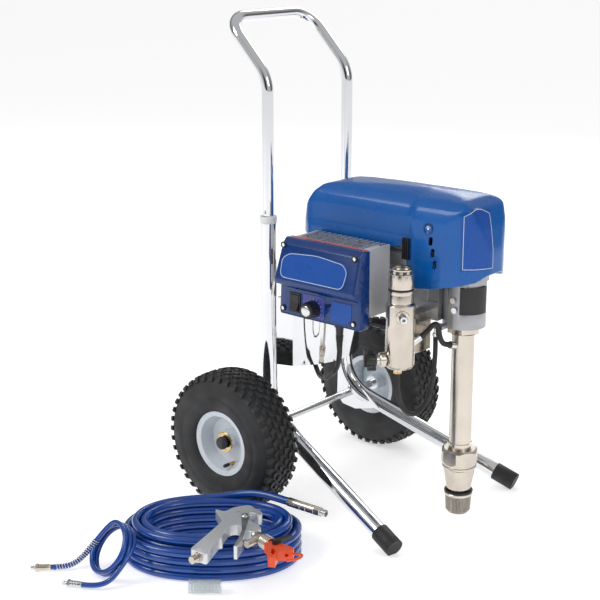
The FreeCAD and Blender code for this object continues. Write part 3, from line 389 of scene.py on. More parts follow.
def plate(name, outline, origin, across, up, thick, material, body, bevel=0.8):
    """An outline in millimetres on a plane, given a thickness along the plane's normal."""
    across = Vector(across).normalized()
    up = Vector(up).normalized()
    normal = across.cross(up)
    count = len(outline)
    points = []
    for depth in (0, thick):
        for u, v in outline:
            points.append(origin + (across * u + up * v + normal * depth) * MM)
    faces = [tuple(range(count)), tuple(range(count, 2 * count))]
    for i in range(count):
        after = (i + 1) % count
        faces.append((i, after, count + after, count + i))
    obj = piece(name, mesh_from(name, points, faces), material, body, smooth=False)
    return rounded(obj, bevel) if bevel else obj


def round_corners(corners, radius, steps=6):
    """An outline whose corners are arcs of one radius."""
    result = []
    count = len(corners)
    for i in range(count):
        corner = Vector(corners[i])
        before = Vector(corners[i - 1]) - corner
        after = Vector(corners[(i + 1) % count]) - corner
        reach = min(radius, 0.45 * before.length, 0.45 * after.length)
        start = corner + before.normalized() * reach
        end = corner + after.normalized() * reach
        for step in range(steps + 1):
            t = step / steps
            point = start * (1 - t) ** 2 + corner * 2 * t * (1 - t) + end * t ** 2
            result.append((point.x, point.y))
    return result


def line(name, points, radius, material, body, cyclic=False, smooth=False):
    """A round bar along points; smooth makes the points a NURBS spline's own."""
    curve = bpy.data.curves.new(name, "CURVE")
    curve.dimensions = "3D"
    curve.bevel_depth = radius
    curve.bevel_resolution = 5
    curve.use_fill_caps = True
    spline = curve.splines.new("NURBS" if smooth else "POLY")
    spline.points.add(len(points) - 1)
    for point, target in zip(spline.points, points):
        point.co = (*target, 1.0)
    spline.use_cyclic_u = cyclic
    if smooth:
        spline.order_u = 3
        spline.use_endpoint_u = True
        spline.resolution_u = 6
    obj = bpy.data.objects.new(name, curve)
    bpy.context.collection.objects.link(obj)
    curve.materials.append(M[material])
    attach(obj, body)
    return obj


def centreline(obj):
    """Points along a cord's smooth line."""
    bare = obj.data.copy()
    bare.bevel_depth = 0
    probe = bpy.data.objects.new("probe", bare)
    mesh = bpy.data.meshes.new_from_object(probe)
    points = [vertex.co.copy() for vertex in mesh.vertices]
    bpy.data.objects.remove(probe)
    bpy.data.meshes.remove(mesh)
    bpy.data.curves.remove(bare)
    return points


def length_of(points):
    return sum((b - a).length for a, b in zip(points, points[1:]))


# ------------------------------------------------------------ hoses

HOSE = 0.015
WHIP = 0.0095
DRAIN = 0.009
COIL_AT = (120, -412, 0)
COIL_TURN = math.radians(41.12)
COIL_LONG = 0.140
COIL_SHORT = 0.094
COLUMN = 0.0168
LAYER = 0.0149
STEPS_A_TURN = 24
COLUMNS_DOWN = [0, -1, -1, 0, 1, 1, 0, -1, -1, 0, 1, 1, 0, -1]
LAYERS_DOWN = [4, 4, 3, 3, 3, 2, 2, 2, 1, 1, 1, 0, 0, 0]

HOSE_OUT = [(0.198, -0.290, 0.0848), (0.160, -0.292, 0.0848), (0.122, -0.301, 0.084),
            (0.088, -0.318, 0.076), (0.058, -0.341, 0.069)]
HOSE_IN = [(0.0076, -0.4703, 0.0088), (0.041, -0.5009, 0.0092), (0.0798, -0.5028, 0.0092),
           (0.1126, -0.4796, 0.0092)]
WHIP_START = [(0.044, -0.658, 0.0074), (0.064, -0.647, 0.0074), (0.079, -0.630, 0.012),
              (0.085, -0.612, 0.026)]
WHIP_END = [(-0.018, -0.594, 0.024), (-0.024, -0.617, 0.009), (-0.034, -0.636, 0.0074),
            (-0.049, -0.651, 0.0074)]
LOOP_CENTRE = (0.038, -0.583, 0.046)
LOOP_RADIUS = 0.047
LOOP_TILT = 53.7
LOOP_TURN = -13.0
LOOP_STEPS = 28
LOOP_ANGLE = 30
DRAIN_ROUTE = [(0.314, -0.120, 0.318), (0.314, -0.120, 0.287), (0.315, -0.113, 0.256),
               (0.320, -0.098, 0.234), (0.328, -0.080, 0.228), (0.336, -0.062, 0.243),
               (0.341, -0.052, 0.272), (0.344, -0.048, 0.310), (0.346, -0.047, 0.350),
               (0.344, -0.046, 0.378)]


def smoothstep(t):
    t = max(0.0, min(1.0, t))
    return t * t * (3 - 2 * t)


def coil_points():
    """Thirteen and a bit oval turns, from the top layer down to the floor."""
    turn = Matrix.Rotation(COIL_TURN, 3, "Z")
    sway = [(random.uniform(-1, 1), random.uniform(-1, 1)) for _ in range(len(LAYERS_DOWN) + 1)]
    points = []
    last = int(13.19 * STEPS_A_TURN)
    for step in range(1, last):
        k = step // STEPS_A_TURN
        part = (step % STEPS_A_TURN) / STEPS_A_TURN
        after = min(k + 1, len(LAYERS_DOWN) - 1)
        cross = smoothstep((part - 0.72) / 0.28)
        column = COLUMNS_DOWN[k] * (1 - cross) + COLUMNS_DOWN[after] * cross
        layer = LAYERS_DOWN[k] * (1 - cross) + LAYERS_DOWN[after] * cross
        angle = math.pi / 2 + 2 * math.pi * step / STEPS_A_TURN
        half_long = COIL_LONG + column * COLUMN
        half_short = COIL_SHORT + column * COLUMN
        flat = math.tanh(2.2 * math.cos(angle)) / math.tanh(2.2)
        straight = (half_long - half_short) * flat + half_short * math.cos(angle)
        x = 0.5 * half_long * math.cos(angle) + 0.5 * straight
        x += 0.0012 * sway[k][0] * math.sin(angle)
        y = half_short * math.sin(angle) + 0.0012 * sway[k][1] * math.sin(angle)
        at = turn @ Vector((x, y, 0)) + place(*COIL_AT)
        points.append(Vector((at.x, at.y, HOSE / 2 + layer * LAYER + 0.0004)))
    return points


def loop_points():
    tilt = Matrix.Rotation(math.radians(LOOP_TURN), 3, "Z") @ Matrix.Rotation(
        math.radians(LOOP_TILT), 3, "X")
    points = []
    for step in range(LOOP_STEPS):
        angle = math.radians(LOOP_ANGLE * (step + 1))
        rise = (step * LOOP_ANGLE / 360 - 1.1) * (WHIP + 0.0012)
        local = Vector((LOOP_RADIUS * math.cos(angle), LOOP_RADIUS * math.sin(angle), rise))
        points.append(AXLE + Vector(LOOP_CENTRE) + tilt @ local)
    return points


def from_axle(points):
    return [AXLE + Vector(point) for point in points]


WIRE_SIDES = 6
WIRE_PITCH = 2.6
STEPS_PER_TURN = 10


def spring(name, path, start, end, radius, wire, body):
    """A helix of wire round the part of a cord's centreline between two lengths along it."""
    inside = []
    run = 0.0
    for a, b in zip(path, path[1:]):
        if start <= run <= end:
            inside.append(a)
        run += (b - a).length
    pitch = WIRE_PITCH * wire
    corners = []
    side = (inside[1] - inside[0]).cross(Z_AXIS).normalized()
    run = 0.0
    for a, b in zip(inside, inside[1:]):
        if (b - a).length < 1e-6:
            continue
        heading = (b - a).normalized()
        side = (side - heading * side.dot(heading)).normalized()
        up = heading.cross(side)
        steps = max(2, int((b - a).length / pitch * STEPS_PER_TURN))
        for step in range(steps):
            angle = 2 * math.pi * (run + (b - a).length * step / steps) / pitch
            out = side * math.cos(angle) + up * math.sin(angle)
            centre = a.lerp(b, step / steps) + out * radius
            for k in range(WIRE_SIDES):
                turn = 2 * math.pi * k / WIRE_SIDES
                corners.append(centre + (out * math.cos(turn) + heading * math.sin(turn)) * wire / 2)
        run += (b - a).length
    faces = []
    for first in range(0, len(corners) - WIRE_SIDES, WIRE_SIDES):
        for k in range(WIRE_SIDES):
            after = (k + 1) % WIRE_SIDES
            beyond = first + WIRE_SIDES
            faces.append((first + k, first + after, beyond + after, beyond + k))
    return piece(name, mesh_from(name, corners, faces), "bright_steel", body)


def end_fitting(name, before, at, sizes, material, body, hexed=True):
    """A crimped ferrule with rings, a swivel nut and a nose, carrying on from a hose's end."""
    along = (at - before).normalized()
    radius, ferrule, nut, nose = sizes
    profile = [(0, 0), (radius - 0.6, 0), (radius, 0.8)]
    for i in range(3):
        ring = ferrule * (0.28 + 0.2 * i)
        profile += [(radius, ring), (radius - 0.7, ring + 0.8), (radius - 0.7, ring + 1.6),
                    (radius, ring + 2.4)]
    profile += [(radius, ferrule - 1), (radius - 1, ferrule), (radius - 1.5, ferrule + 1)]
    sleeve = turned(name, [(0, 0)] + profile[1:] + [(0, ferrule + 1)], at, along, material, body,
                    40)
    grip = radius + 1.1
    nut_profile = [(0, 0), (grip - 1, 0), (grip, 1), (grip, nut - 1), (grip - 1, nut), (0, nut)]
    turned(name + "_nut", nut_profile, at + along * (ferrule - 1) * MM, along, material, body,
           6 if hexed else 32)
    tip = [(0, 0)]
    thread = radius - 2.2
    turns = max(3, int(nose / 1.6))
    for i in range(turns):
        low = nose * i / turns
        tip += [(thread, low), (thread + 0.5, low + nose / turns / 2)]
    tip += [(thread - 0.6, nose), (1.8, nose), (1.8, nose - 4), (0, nose - 4)]
    turned(name + "_thread", tip, at + along * (ferrule + nut - 2) * MM, along, "bright_steel", body,
           32)
    return sleeve


def hoses():
    """The coiled main hose, the looped whip hose and the drain hose, with their ends."""
    inner = from_axle(HOSE_IN)
    route = from_axle(HOSE_OUT) + coil_points() + inner
    hose = line("paint_hose", route, HOSE / 2, "blue_hose", "hose", smooth=True)
    outer_end = end_fitting("hose_end_outer", route[1], route[0], (8.5, 62, 14, 12), "nickel", "hose")
    end_fitting("hose_end_inner", inner[-2], inner[-1], (7.8, 16, 8, 9), "nickel", "hose")
    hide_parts("hose_coil", "hose_leads")
    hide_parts("hose_couplings")
    length_of(centreline(hose))

    route = from_axle(WHIP_START) + loop_points() + from_axle(WHIP_END)
    whip = line("whip_hose_line", route, WHIP / 2, "blue_hose", "whip", smooth=True)
    path = centreline(whip)
    long = length_of(path)
    near = end_fitting("whip_end_near", route[1], route[0], (6, 22, 6, 10), "bright_steel", "whip")
    end_fitting("whip_end_far", route[-2], route[-1], (6, 22, 6, 10), "nickel", "whip", hexed=False)
    guard = spring("whip_spring", path, long - 0.105, long, WHIP / 2 + 0.0009, 0.0018, "whip")
    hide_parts("whip_hose")
    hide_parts("whip_fittings")

    route = from_axle(DRAIN_ROUTE)
    drain = line("drain_tube", route, DRAIN / 2, "black_rubber", "machine", smooth=True)
    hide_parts("drain_hose")
    tip = turned("drain_hook", [(0, -1), (5.6, -1), (5.6, 5), (3.6, 6), (3.6, 15), (0, 15)],
                 route[-1], Z_AXIS, "bright_steel", "machine")
    length_of(centreline(drain))


# ------------------------------------------------------------ wheels

def wheel(name, side):
    """Turf tyre with tread blocks over a smooth carcass, valve stem and a ridged bead."""
    body = "wheel_" + name
    low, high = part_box("tyre_" + name)
    middle = (low + high) / 2
    along = Vector((0, side, 0))
    radius = (high.z - low.z) / 2 / MM
    half = (high.y - low.y) / 2 / MM
    side_view = [(57, 30), (63, 33), (66, 38), (72, 42.5), (80, half - 1.2), (88, half - 0.2),
                 (92, half - 0.2),
                 (94, half - 1), (98, half - 0.1), (108, half - 0.4), (110, half - 1.2), (118, half - 2.2),
                 (126, half - 6), (131, half - 12), (134, half - 20), (135.6, half - 34)]
    profile = [(r, h) for r, h in side_view] + [(135.9, 0)] + [(r, -h) for r, h in side_view[::-1]]
    carcass = turned("tyre_body_" + name, profile, middle, along, "tyre", body, steps=96, close=True)
    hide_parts("tyre_" + name)
    points = []
    faces = []
    pitch_count = 40
    for i in range(pitch_count):
        for row, (offset, width, length, skew) in enumerate(TREAD):
            angle = 2 * math.pi * (i + 0.5 * (row % 2)) / pitch_count
            block(points, faces, angle, offset, width, length, skew, radius)
    spin = Z_AXIS.rotation_difference(along).to_matrix()
    world = [middle + spin @ (Vector(p) * MM) for p in points]
    tread = piece("tread_" + name, mesh_from("tread_" + name, world, faces), "tyre", body, smooth=False)
    rounded(tread, 0.5, 1)
    stem_at = middle + along * 0.012 + Vector((0.012, 0, -0.043))
    turned("valve_stem_" + name, [(0, 0), (3, 0), (3, 12), (2.4, 14), (2.4, 20), (0, 20)], stem_at, along,
           "brass", body, 20)
    turned("valve_cap_" + name, [(0, 14), (3.6, 14), (3.6, 25), (2.8, 27), (0, 27)], stem_at, along,
           "black_rubber", body, 20)
    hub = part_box("axle_caps")[0] if side < 0 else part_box("axle_caps")[1]
    dome = [(12.5, -6), (12.5, -1), (12, 1), (9.5, 3.6), (5, 4.6), (0, 4.9)]
    hub_at = Vector((middle.x, hub.y - side * 0.005, middle.z))
    turned("hub_dome_" + name, dome, hub_at, along, "dark_casting", "machine", 32)
    ring = [(14.5, 22), (20, 22.4), (20.4, 24.4), (19.5, 25.2), (14.5, 25.2)]
    turned("hub_ring_" + name, ring, middle, along, "brass", body, 40, close=True)


TREAD = [(-37, 11, 11, 0.35), (-25, 10, 12, 0.5), (-12.5, 10, 12, -0.4), (0, 10, 13, 0.0),
         (12.5, 10, 12, 0.4), (25, 10, 12, -0.5), (37, 11, 11, -0.35)]


def crown(offset):
    """The tyre's outer radius at a distance from its middle plane."""
    share = abs(offset) / 46
    return 139.6 - 9.5 * share ** 3.2


def block(points, faces, angle, offset, width, length, skew, radius):
    """One tread block: a short curved brick on the crown."""
    start = len(points)
    for depth in (-5.5, 0.0):
        for du, dv in ((-1, -1), (1, -1), (1, 1), (-1, 1)):
            across = offset + dv * width / 2 * (1 if depth < 0 else 0.86)
            at = angle + (du * length / 2 * (1 if depth < 0 else 0.86) + skew * dv * width / 2) / radius
            r = crown(across) + depth
            points.append((r * math.cos(at), r * math.sin(at), across))
    for face in ((0, 3, 2, 1), (4, 5, 6, 7), (0, 1, 5, 4), (1, 2, 6, 5), (2, 3, 7, 6), (3, 0, 4, 7)):
        faces.append(tuple(start + i for i in face))


# ------------------------------------------------------------ shroud

def prism(name, outline, axis, low, high):
    """A throwaway solid: an outline in two of the cart's axes pushed along the third."""
    points = []
    for depth in (low, high):
        for u, v in outline:
            points.append(place(*{"x": (depth, u, v), "y": (u, depth, v), "z": (u, v, depth)}[axis]))
    count = len(outline)
    faces = [tuple(range(count)), tuple(range(count, 2 * count))]
    faces += [(i, (i + 1) % count, count + (i + 1) % count, count + i) for i in range(count)]
    obj = bpy.data.objects.new(name, mesh_from(name, points, faces))
    bpy.context.collection.objects.link(obj)
    return obj


def combine(base, tool, operation):
    """A boolean of two throwaway solids; the tool is used up."""
    change = base.modifiers.new("combine", "BOOLEAN")
    change.operation = operation
    change.object = tool
    change.solver = "EXACT"
    applied(base)
    bpy.data.objects.remove(tool)
    return base


SHROUD_WALL = 3.2
SHROUD_TOP = [(26, 530), (26, 556), (36, 568), (40, 585), (46, 598), (54, 613), (70, 628), (90, 633),
              (130, 638), (230, 644), (300, 646), (350, 645.5), (398, 640), (418, 624), (431, 590),
              (441, 545), (441, 506)]
SHROUD_LOW = [(425, 492), (399, 484.5), (345, 473), (310, 468), (292, 503), (288, 545), (252, 537)]
REAR_ARCH = [(-69, 380), (-69, 553), (-65, 560), (-62.5, 600), (-57, 617), (-42, 634), (-24, 642),
             (-10, 646)]
FRONT_ARCH = [(-74, 380), (-74, 560), (-72, 600), (-66, 618), (-50, 634), (-28, 642), (-10, 646)]


def shroud_solid(inset):
    """The cover as a rounded solid: three crossed outlines, remeshed and smoothed."""
    top = [(x + (inset if x < 80 else -inset if x > 390 else 0), z - (inset if z > 600 else 0))
           for x, z in SHROUD_TOP]
    side = [(top[0][0], 400)] + top + [(top[-1][0], 400)]
    body = prism("shroud_side", side, "y", -90, 90)
    half = 74 - inset
    rear = 24 + inset
    plan = [(rear, -half + 36), (rear + 8, -half + 20), (rear + 26, -half + 6), (82, -half), (372, -half),
            (402 - inset, -half + 9), (426 - inset, -half + 26), (441 - inset, -20)]
    plan += [(x, -y) for x, y in plan[::-1]]
    combine(body, prism("shroud_plan", plan, "z", 380, 680), "INTERSECT")
    spans = []
    for arch, low, high in ((REAR_ARCH, -30, 312), (FRONT_ARCH, 300, 480)):
        section = [(y + inset, z - (inset if z > 600 else 0)) for y, z in arch]
        section += [(-y, z) for y, z in section[::-1]]
        spans.append(prism("shroud_span", section, "x", low, high))
    combine(spans[0], spans[1], "UNION")
    combine(body, spans[0], "INTERSECT")
    remesh = body.modifiers.new("remesh", "REMESH")
    remesh.mode = "VOXEL"
    remesh.voxel_size = 0.0036
    smooth = body.modifiers.new("smooth", "SMOOTH")
    smooth.factor = 0.5
    smooth.iterations = 14
    return applied(body)


def shroud():
    """The blue cover: a hollow rounded shell with a cut lower edge, badge, screws and vents."""
    shell = shroud_solid(0)
    combine(shell, shroud_solid(SHROUD_WALL), "DIFFERENCE")
    low_edge = [SHROUD_TOP[0], (0, 530), (0, 380), (470, 380), (470, 506), SHROUD_TOP[-1]] + SHROUD_LOW
    combine(shell, prism("shroud_trim", low_edge, "y", -100, 100), "DIFFERENCE")
    tree = BVHTree.FromObject(shell, bpy.context.evaluated_depsgraph_get())
    holes = []
    for x, z in ((347, 562), (352, 541), (357, 520)):
        slot = round_corners([(x - 5, z - 8), (x + 4, z - 8), (x + 5, z + 8), (x - 4, z + 8)], 4.4)
        holes.append(prism("slot", slot, "y", -90, -60))
    for hole in holes:
        combine(shell, hole, "DIFFERENCE")
    mesh = shell.data
    bpy.data.objects.remove(shell)
    cover = piece("motor_cover", mesh, "blue_plastic", "machine")
    split = cover.modifiers.new("edges", "EDGE_SPLIT")
    split.split_angle = math.radians(40)
    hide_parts("shroud")
    corner = Vector((0.85, -0.52, 0.05)).normalized()
    across = Z_AXIS.cross(corner).normalized()
    up = corner.cross(across)
    badge = badge_outline(62, 112, 12)
    origin = place(426, -38, 571)
    decal("badge", badge, origin, across, up, tree, "label_blue", 0.9)
    rim = [surface_point(tree, origin, across, up, u, v, 1.4) for u, v in badge_outline(57, 107, 11)]
    line("badge_rim", rim, 0.0006, "label_pale", "machine", cyclic=True)
    side = Vector((0, -1, 0))
    recess = place(341, -73.2, 584)
    turned("cover_screw_cup", [(10.5, -1.5), (10.5, 0.6), (9, 1.2), (7.5, 0.2), (7.2, -3)], recess, side,
           "navy_plastic", "machine", 40)
    turned("cover_screw", [(0, 0.4), (2, 0.4), (2.4, -0.6), (4.6, -0.4), (5.4, -1.6), (5.4, -3)], recess,
           side,
           "bright_steel", "machine", 32)
    for i in range(4):
        fin = [(286 + 4 * i, 520), (288 + 4 * i, 520), (288 + 4 * i, 560), (286 + 4 * i, 560)]
        plate(f"vent_fin_{i}", fin, place(0, -72, 0), (1, 0, 0), Z_AXIS, 6, "black_plastic", "machine",
              bevel=0.3)


def badge_outline(wide, high, rise):
    """A panel whose top edge is an arch."""
    corners = [(-wide / 2, -high / 2), (wide / 2, -high / 2), (wide / 2, high / 2 - rise)]
    for i in range(1, 8):
        t = i / 8
        corners.append((wide / 2 - wide * t, high / 2 - rise + rise * math.sin(math.pi * t)))
    corners.append((-wide / 2, high / 2 - rise))
    result = []
    for a, b in zip(corners, corners[1:] + corners[:1]):
        steps = max(1, int(math.dist(a, b) / 3))
        result += [(a[0] + (b[0] - a[0]) * i / steps,
                    a[1] + (b[1] - a[1]) * i / steps) for i in range(steps)]
    return result


def surface_point(tree, origin, across, up, u, v, lift):
    """The point of a surface under a point of a plane, lifted along the plane's normal."""
    normal = across.cross(up)
    start = origin + (across * u + up * v) * MM + normal * 0.08
    found = tree.ray_cast(start, -normal)[0]
    return (found if found is not None else start - normal * 0.08) + normal * lift * MM


def decal(name, outline, origin, across, up, tree, material, lift, rings=12):
    """A thin label that lies on a curved surface."""
    points = []
    faces = []
    count = len(outline)
    for ring in range(1, rings + 1):
        share = ring / rings
        points += [surface_point(tree, origin, across, up, u * share, v * share, lift) for u, v in outline]
    points.append(surface_point(tree, origin, across, up, 0, 0, lift))
    for i in range(count):
        after = (i + 1) % count
        faces.append((len(points) - 1, i, after))
        for ring in range(rings - 1):
            low = ring * count
            faces.append((low + i, low + count + i, low + count + after, low + after))
    obj = piece(name, mesh_from(name, points, faces), material, "machine")
    thick = obj.modifiers.new("thickness", "SOLIDIFY")
    thick.thickness = 0.0012
    thick.offset = 0
    return obj


# ------------------------------------------------------------ control box

FACE_TOP = (-176, 536)
FACE_LOW = (-196, 472)


COVER_TAPER = 0.004
TAPER_FROM_Z = 0.472
TAPER_HEIGHT = 0.08
FRONT_DEPTH = 0.05
FRONT_BLEND = 0.03


def tapered_cover(low, high):
    """The cover's own shape with round edges, drawn in towards the top at both ends."""
    mesh = NODES["control_cover"].data.copy()
    mesh.materials.clear()
    shell = piece("control_shell", mesh, "navy_plastic", "machine")
    applied(rounded(shell, 4.5, 4, 18))
    middle = (low.x + high.x) / 2
    half = (high.x - low.x) / 2
    for vertex in shell.data.vertices:
        upper = smoothstep((vertex.co.z - TAPER_FROM_Z) / TAPER_HEIGHT)
        front = smoothstep((low.y + FRONT_DEPTH - vertex.co.y) / FRONT_BLEND)
        vertex.co.x -= (vertex.co.x - middle) / half * (upper * front) * COVER_TAPER
    return shell


def control_box():
    """Cover with its leaning label, lower panel, knob, switch frame and screws."""
    low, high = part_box("control_cover")
    x0 = (low.x - AXLE.x) / MM
    x1 = (high.x - AXLE.x) / MM
    along = Vector((0, FACE_TOP[0] - FACE_LOW[0], FACE_TOP[1] - FACE_LOW[1])).normalized()
    shell = tapered_cover(low, high)
    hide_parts("control_cover")
    for i, (x, z) in enumerate(((x1 - 13, 534), (x1 - 13, 412), (x0 + 9, 412), (x0 + 9, 534))):
        cup = [(0, 3.2), (3.4, 3.2), (3.8, 4.2), (5.4, 4.2), (6, 3.4), (6, 0)]
        front = -176.4 if z > 500 else -178.6
        turned(f"cover_screw_{i}", cup, place(x, front, z), Vector((0, -1, 0)), "black_plastic", "machine",
               28)
    right = Vector((1, 0, 0))
    face_at = place(0, FACE_LOW[0] - 0.2, FACE_LOW[1])
    label = [(x0 + 13, 3), (x1 - 26, 3), (x1 - 22, 40), (x1 - 34, 52), ((x0 + x1) / 2 - 6, 58),
             (x0 + 26, 53), (x0 + 10, 42)]
    shape = round_corners(label, 14, 5)
    plate("control_label", shape, face_at, right, along, 1.0, "label_blue", "machine", 0.3)
    outward = right.cross(along)
    rim = [face_at + (right * u + along * v + outward * 1.3) * MM for u, v in
           round_corners([(u + (2.2 if u < (x0 + x1) / 2 else -2.2), v + (2.2 if v < 30 else -2.2))
                          for u, v in label], 12, 5)]
    line("control_label_rim", rim, 0.0006, "label_pale", "machine", cyclic=True)
    lean = Vector((0, 2, 52)).normalized()
    low_at = place(0, -180.2, 403)
    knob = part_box("pressure_knob")
    knob_x = ((knob[0].x + knob[1].x) / 2 - AXLE.x) / MM
    outline = round_corners([(knob_x - 27, 2), (knob_x + 25, 2), (knob_x + 25, 46), (knob_x - 27, 46)], 6)
    plate("knob_plate", outline, low_at, right, lean, 0.9, "label_violet", "machine", 0.2)
    knob_at = Vector(((knob[0].x + knob[1].x) / 2, low_at.y - 0.0012, (knob[0].z + knob[1].z) / 2))
    for i in range(13):
        angle = math.radians(-45 + 22.5 * i)
        out = Vector((math.cos(angle), 0, math.sin(angle)))
        reach = 19.5 + (1.6 if i % 3 == 0 else 0.6)
        line(f"scale_{i}", [knob_at + out * 0.0182, knob_at + out * reach * MM], 0.00045, "label_pale",
             "machine")
    side = round_corners([(x1 - 66, 6), (x1 - 26, 6), (x1 - 18, 16), (x1 - 18, 44), (x1 - 66, 44)], 3)
    plate("side_label", side, low_at, right, lean, 0.8, "label_blue", "machine", 0.2)
    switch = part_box("rocker_switch")
    sx = ((switch[0].x + switch[1].x) / 2 - AXLE.x) / MM
    for name, (u0, u1, v0, v1) in {"left": (-13, -10.6, 7, 43), "right": (10.6, 13, 7, 43),
                                   "low": (-13, 13, 6.4, 9.4), "top": (-13, 13, 40.6, 43.6)}.items():
        bar = [(sx + u0, v0), (sx + u1, v0), (sx + u1, v1), (sx + u0, v1)]
        plate("switch_frame_" + name, bar, low_at, right, lean, 2.0, "black_plastic", "machine", bevel=0.6)
    dial_at = Vector((knob_at.x, knob[0].y, knob_at.z))
    out = Vector((0, -1, 0))
    cap = [(11, -3.5), (11, -0.6), (10.4, 0), (8, 0.9), (4, 1.5), (0, 1.7)]
    turned("knob_cap", cap, dial_at, out, "bright_steel", "dial", 40)
    for i in range(18):
        angle = 2 * math.pi * i / 18
        rib = Vector((math.cos(angle), 0, math.sin(angle)))
        start = dial_at + rib * 0.0142 + Vector((0, 0.002, 0))
        end = dial_at + rib * 0.0156 + Vector((0, 0.0175, 0))
        line(f"knob_rib_{i}", [start, end], 0.0011, "black_plastic", "dial")
    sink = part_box("heat_sink")
    top = (sink[1].z - AXLE.z) / MM
    plate("rating_plate", round_corners([(x0 + 12, -142), (x1 - 26, -142), (x1 - 26, -84),
                                         (x0 + 12, -84)], 3),
          place(0, 0, top - 0.1), right, Vector((0, 1, 0)), 0.8, "plate_grey", "machine",
          0.2)
    for i in range(6):
        u = x0 + 18 + 47 * (i % 3)
        v = -138 + 27 * (i // 3)
        plate(f"print_{i}", [(u, v), (u + 41, v), (u + 41, v + 23), (u, v + 23)], place(0, 0, top + 0.5),
              right,
              Vector((0, 1, 0)), 0.5, "speckle", "machine", 0)
    for i in range(13):
        low_x = x0 + 13 + 13 * i
        plate(f"sink_fin_{i}", [(low_x, -98), (low_x + 3, -98), (low_x + 3, -78), (low_x, -78)],
              place(0, 0, top - 1), right, Vector((0, 1, 0)), 2.6, "grey_casting", "machine", bevel=0.6)
    line("gasket_line", [place(x0 + 4, -150.2, top + 2.6), place(x1 - 4, -150.2, top + 2.6)], 0.0008,
         "orange_plastic", "machine")
    boot = [(6.9, 0), (7.6, 2), (6.6, 4), (7.3, 6), (6.2, 8), (6.9, 10), (5.9, 12), (6.4, 14), (5.4, 16),
            (5.9, 18), (5.3, 24), (5.1, 28)]
    turned("cable_boot", boot, place(212, -164, 380), -Z_AXIS, "black_rubber", "machine",
           32)


# ------------------------------------------------------------ manifold and pump

def manifold():
    """Windows, slots and rings on the filter cap, nuts at the ports and the prime lever."""
    at = place(318, -120, 0)
    band = [(23.5, 481), (24.1, 482), (24.1, 506.5), (23.4, 508)]
    turned("cap_band", band, at, Z_AXIS, "turned_nickel", "machine", 12)
    turned("cap_seal", [(22, 476.8), (23.2, 477.4), (23.2, 479.6), (22, 480.2)], at, Z_AXIS, "black_rubber",
           "machine", 48)
    turned("cap_lid", [(22.4, 514.5), (22.9, 515.2), (22.9, 516.6), (22.2, 517.4), (17.5, 517.4)], at,
           Z_AXIS,
           "turned_nickel", "machine", 64)
    for i in range(10):
        angle = 2 * math.pi * i / 10
        out = Vector((math.cos(angle), math.sin(angle), 0))
        across = Z_AXIS.cross(out)
        window = [(-3.6, 508.6), (3.6, 508.6), (3.6, 514.4), (-3.6, 514.4)]
        plate(f"cap_window_{i}", window, at + out * 0.0208, across, Z_AXIS, 0.9, "dark_casting", "machine",
              0.2)
    port = place(318, -120, 431)
    way = Vector((1, -1, 0)).normalized()
    turned("outlet_ring", [(9, 25), (12.5, 25.6), (13, 26.4), (13, 28.6), (12, 29.4), (9, 29.4)], port, way,
           "turned_nickel", "machine", 48)
    thread = []
    for i in range(9):
        thread += [(6.62, 28.6 + 1.7 * i), (7.0, 29.4 + 1.7 * i)]
    turned("outlet_thread", thread, port, way, "turned_nickel", "machine", 40)
    lever_at = place(318, -120, 346)
    out = Vector((-0.62, -0.785, 0)).normalized()
    across = Z_AXIS.cross(out)
    lever = [(-4, -12), (4, -12), (5, 0), (4.4, 21), (0, 24), (-4.4, 21), (-5, 0)]
    plate("prime_lever", round_corners(lever, 3, 4), lever_at + out * 0.0605, across, Z_AXIS, 7,
          "black_plastic",
          "prime", bevel=1.4)
    turned("prime_nut", [(9.2, 27), (12.6, 27), (13.4, 28), (13.4, 37), (12.6, 38), (9.2, 38)], lever_at,
           out,
           "turned_nickel", "machine", 40)
    turned("drain_nut", [(5, -13), (7.4, -13), (8.4, -12), (8.4, -4), (7.6, -3), (5, -3)],
           place(314, -120, 330),
           Z_AXIS, "brass", "machine", 6)
    turned("body_screw", [(0, 0), (1.4, 0), (1.6, -0.8), (3, -0.6), (3.6, -1.4), (3.6, -3)],
           place(344.6, -115, 440), Vector((0.985, 0.18, 0)), "black_plastic", "machine",
           24)


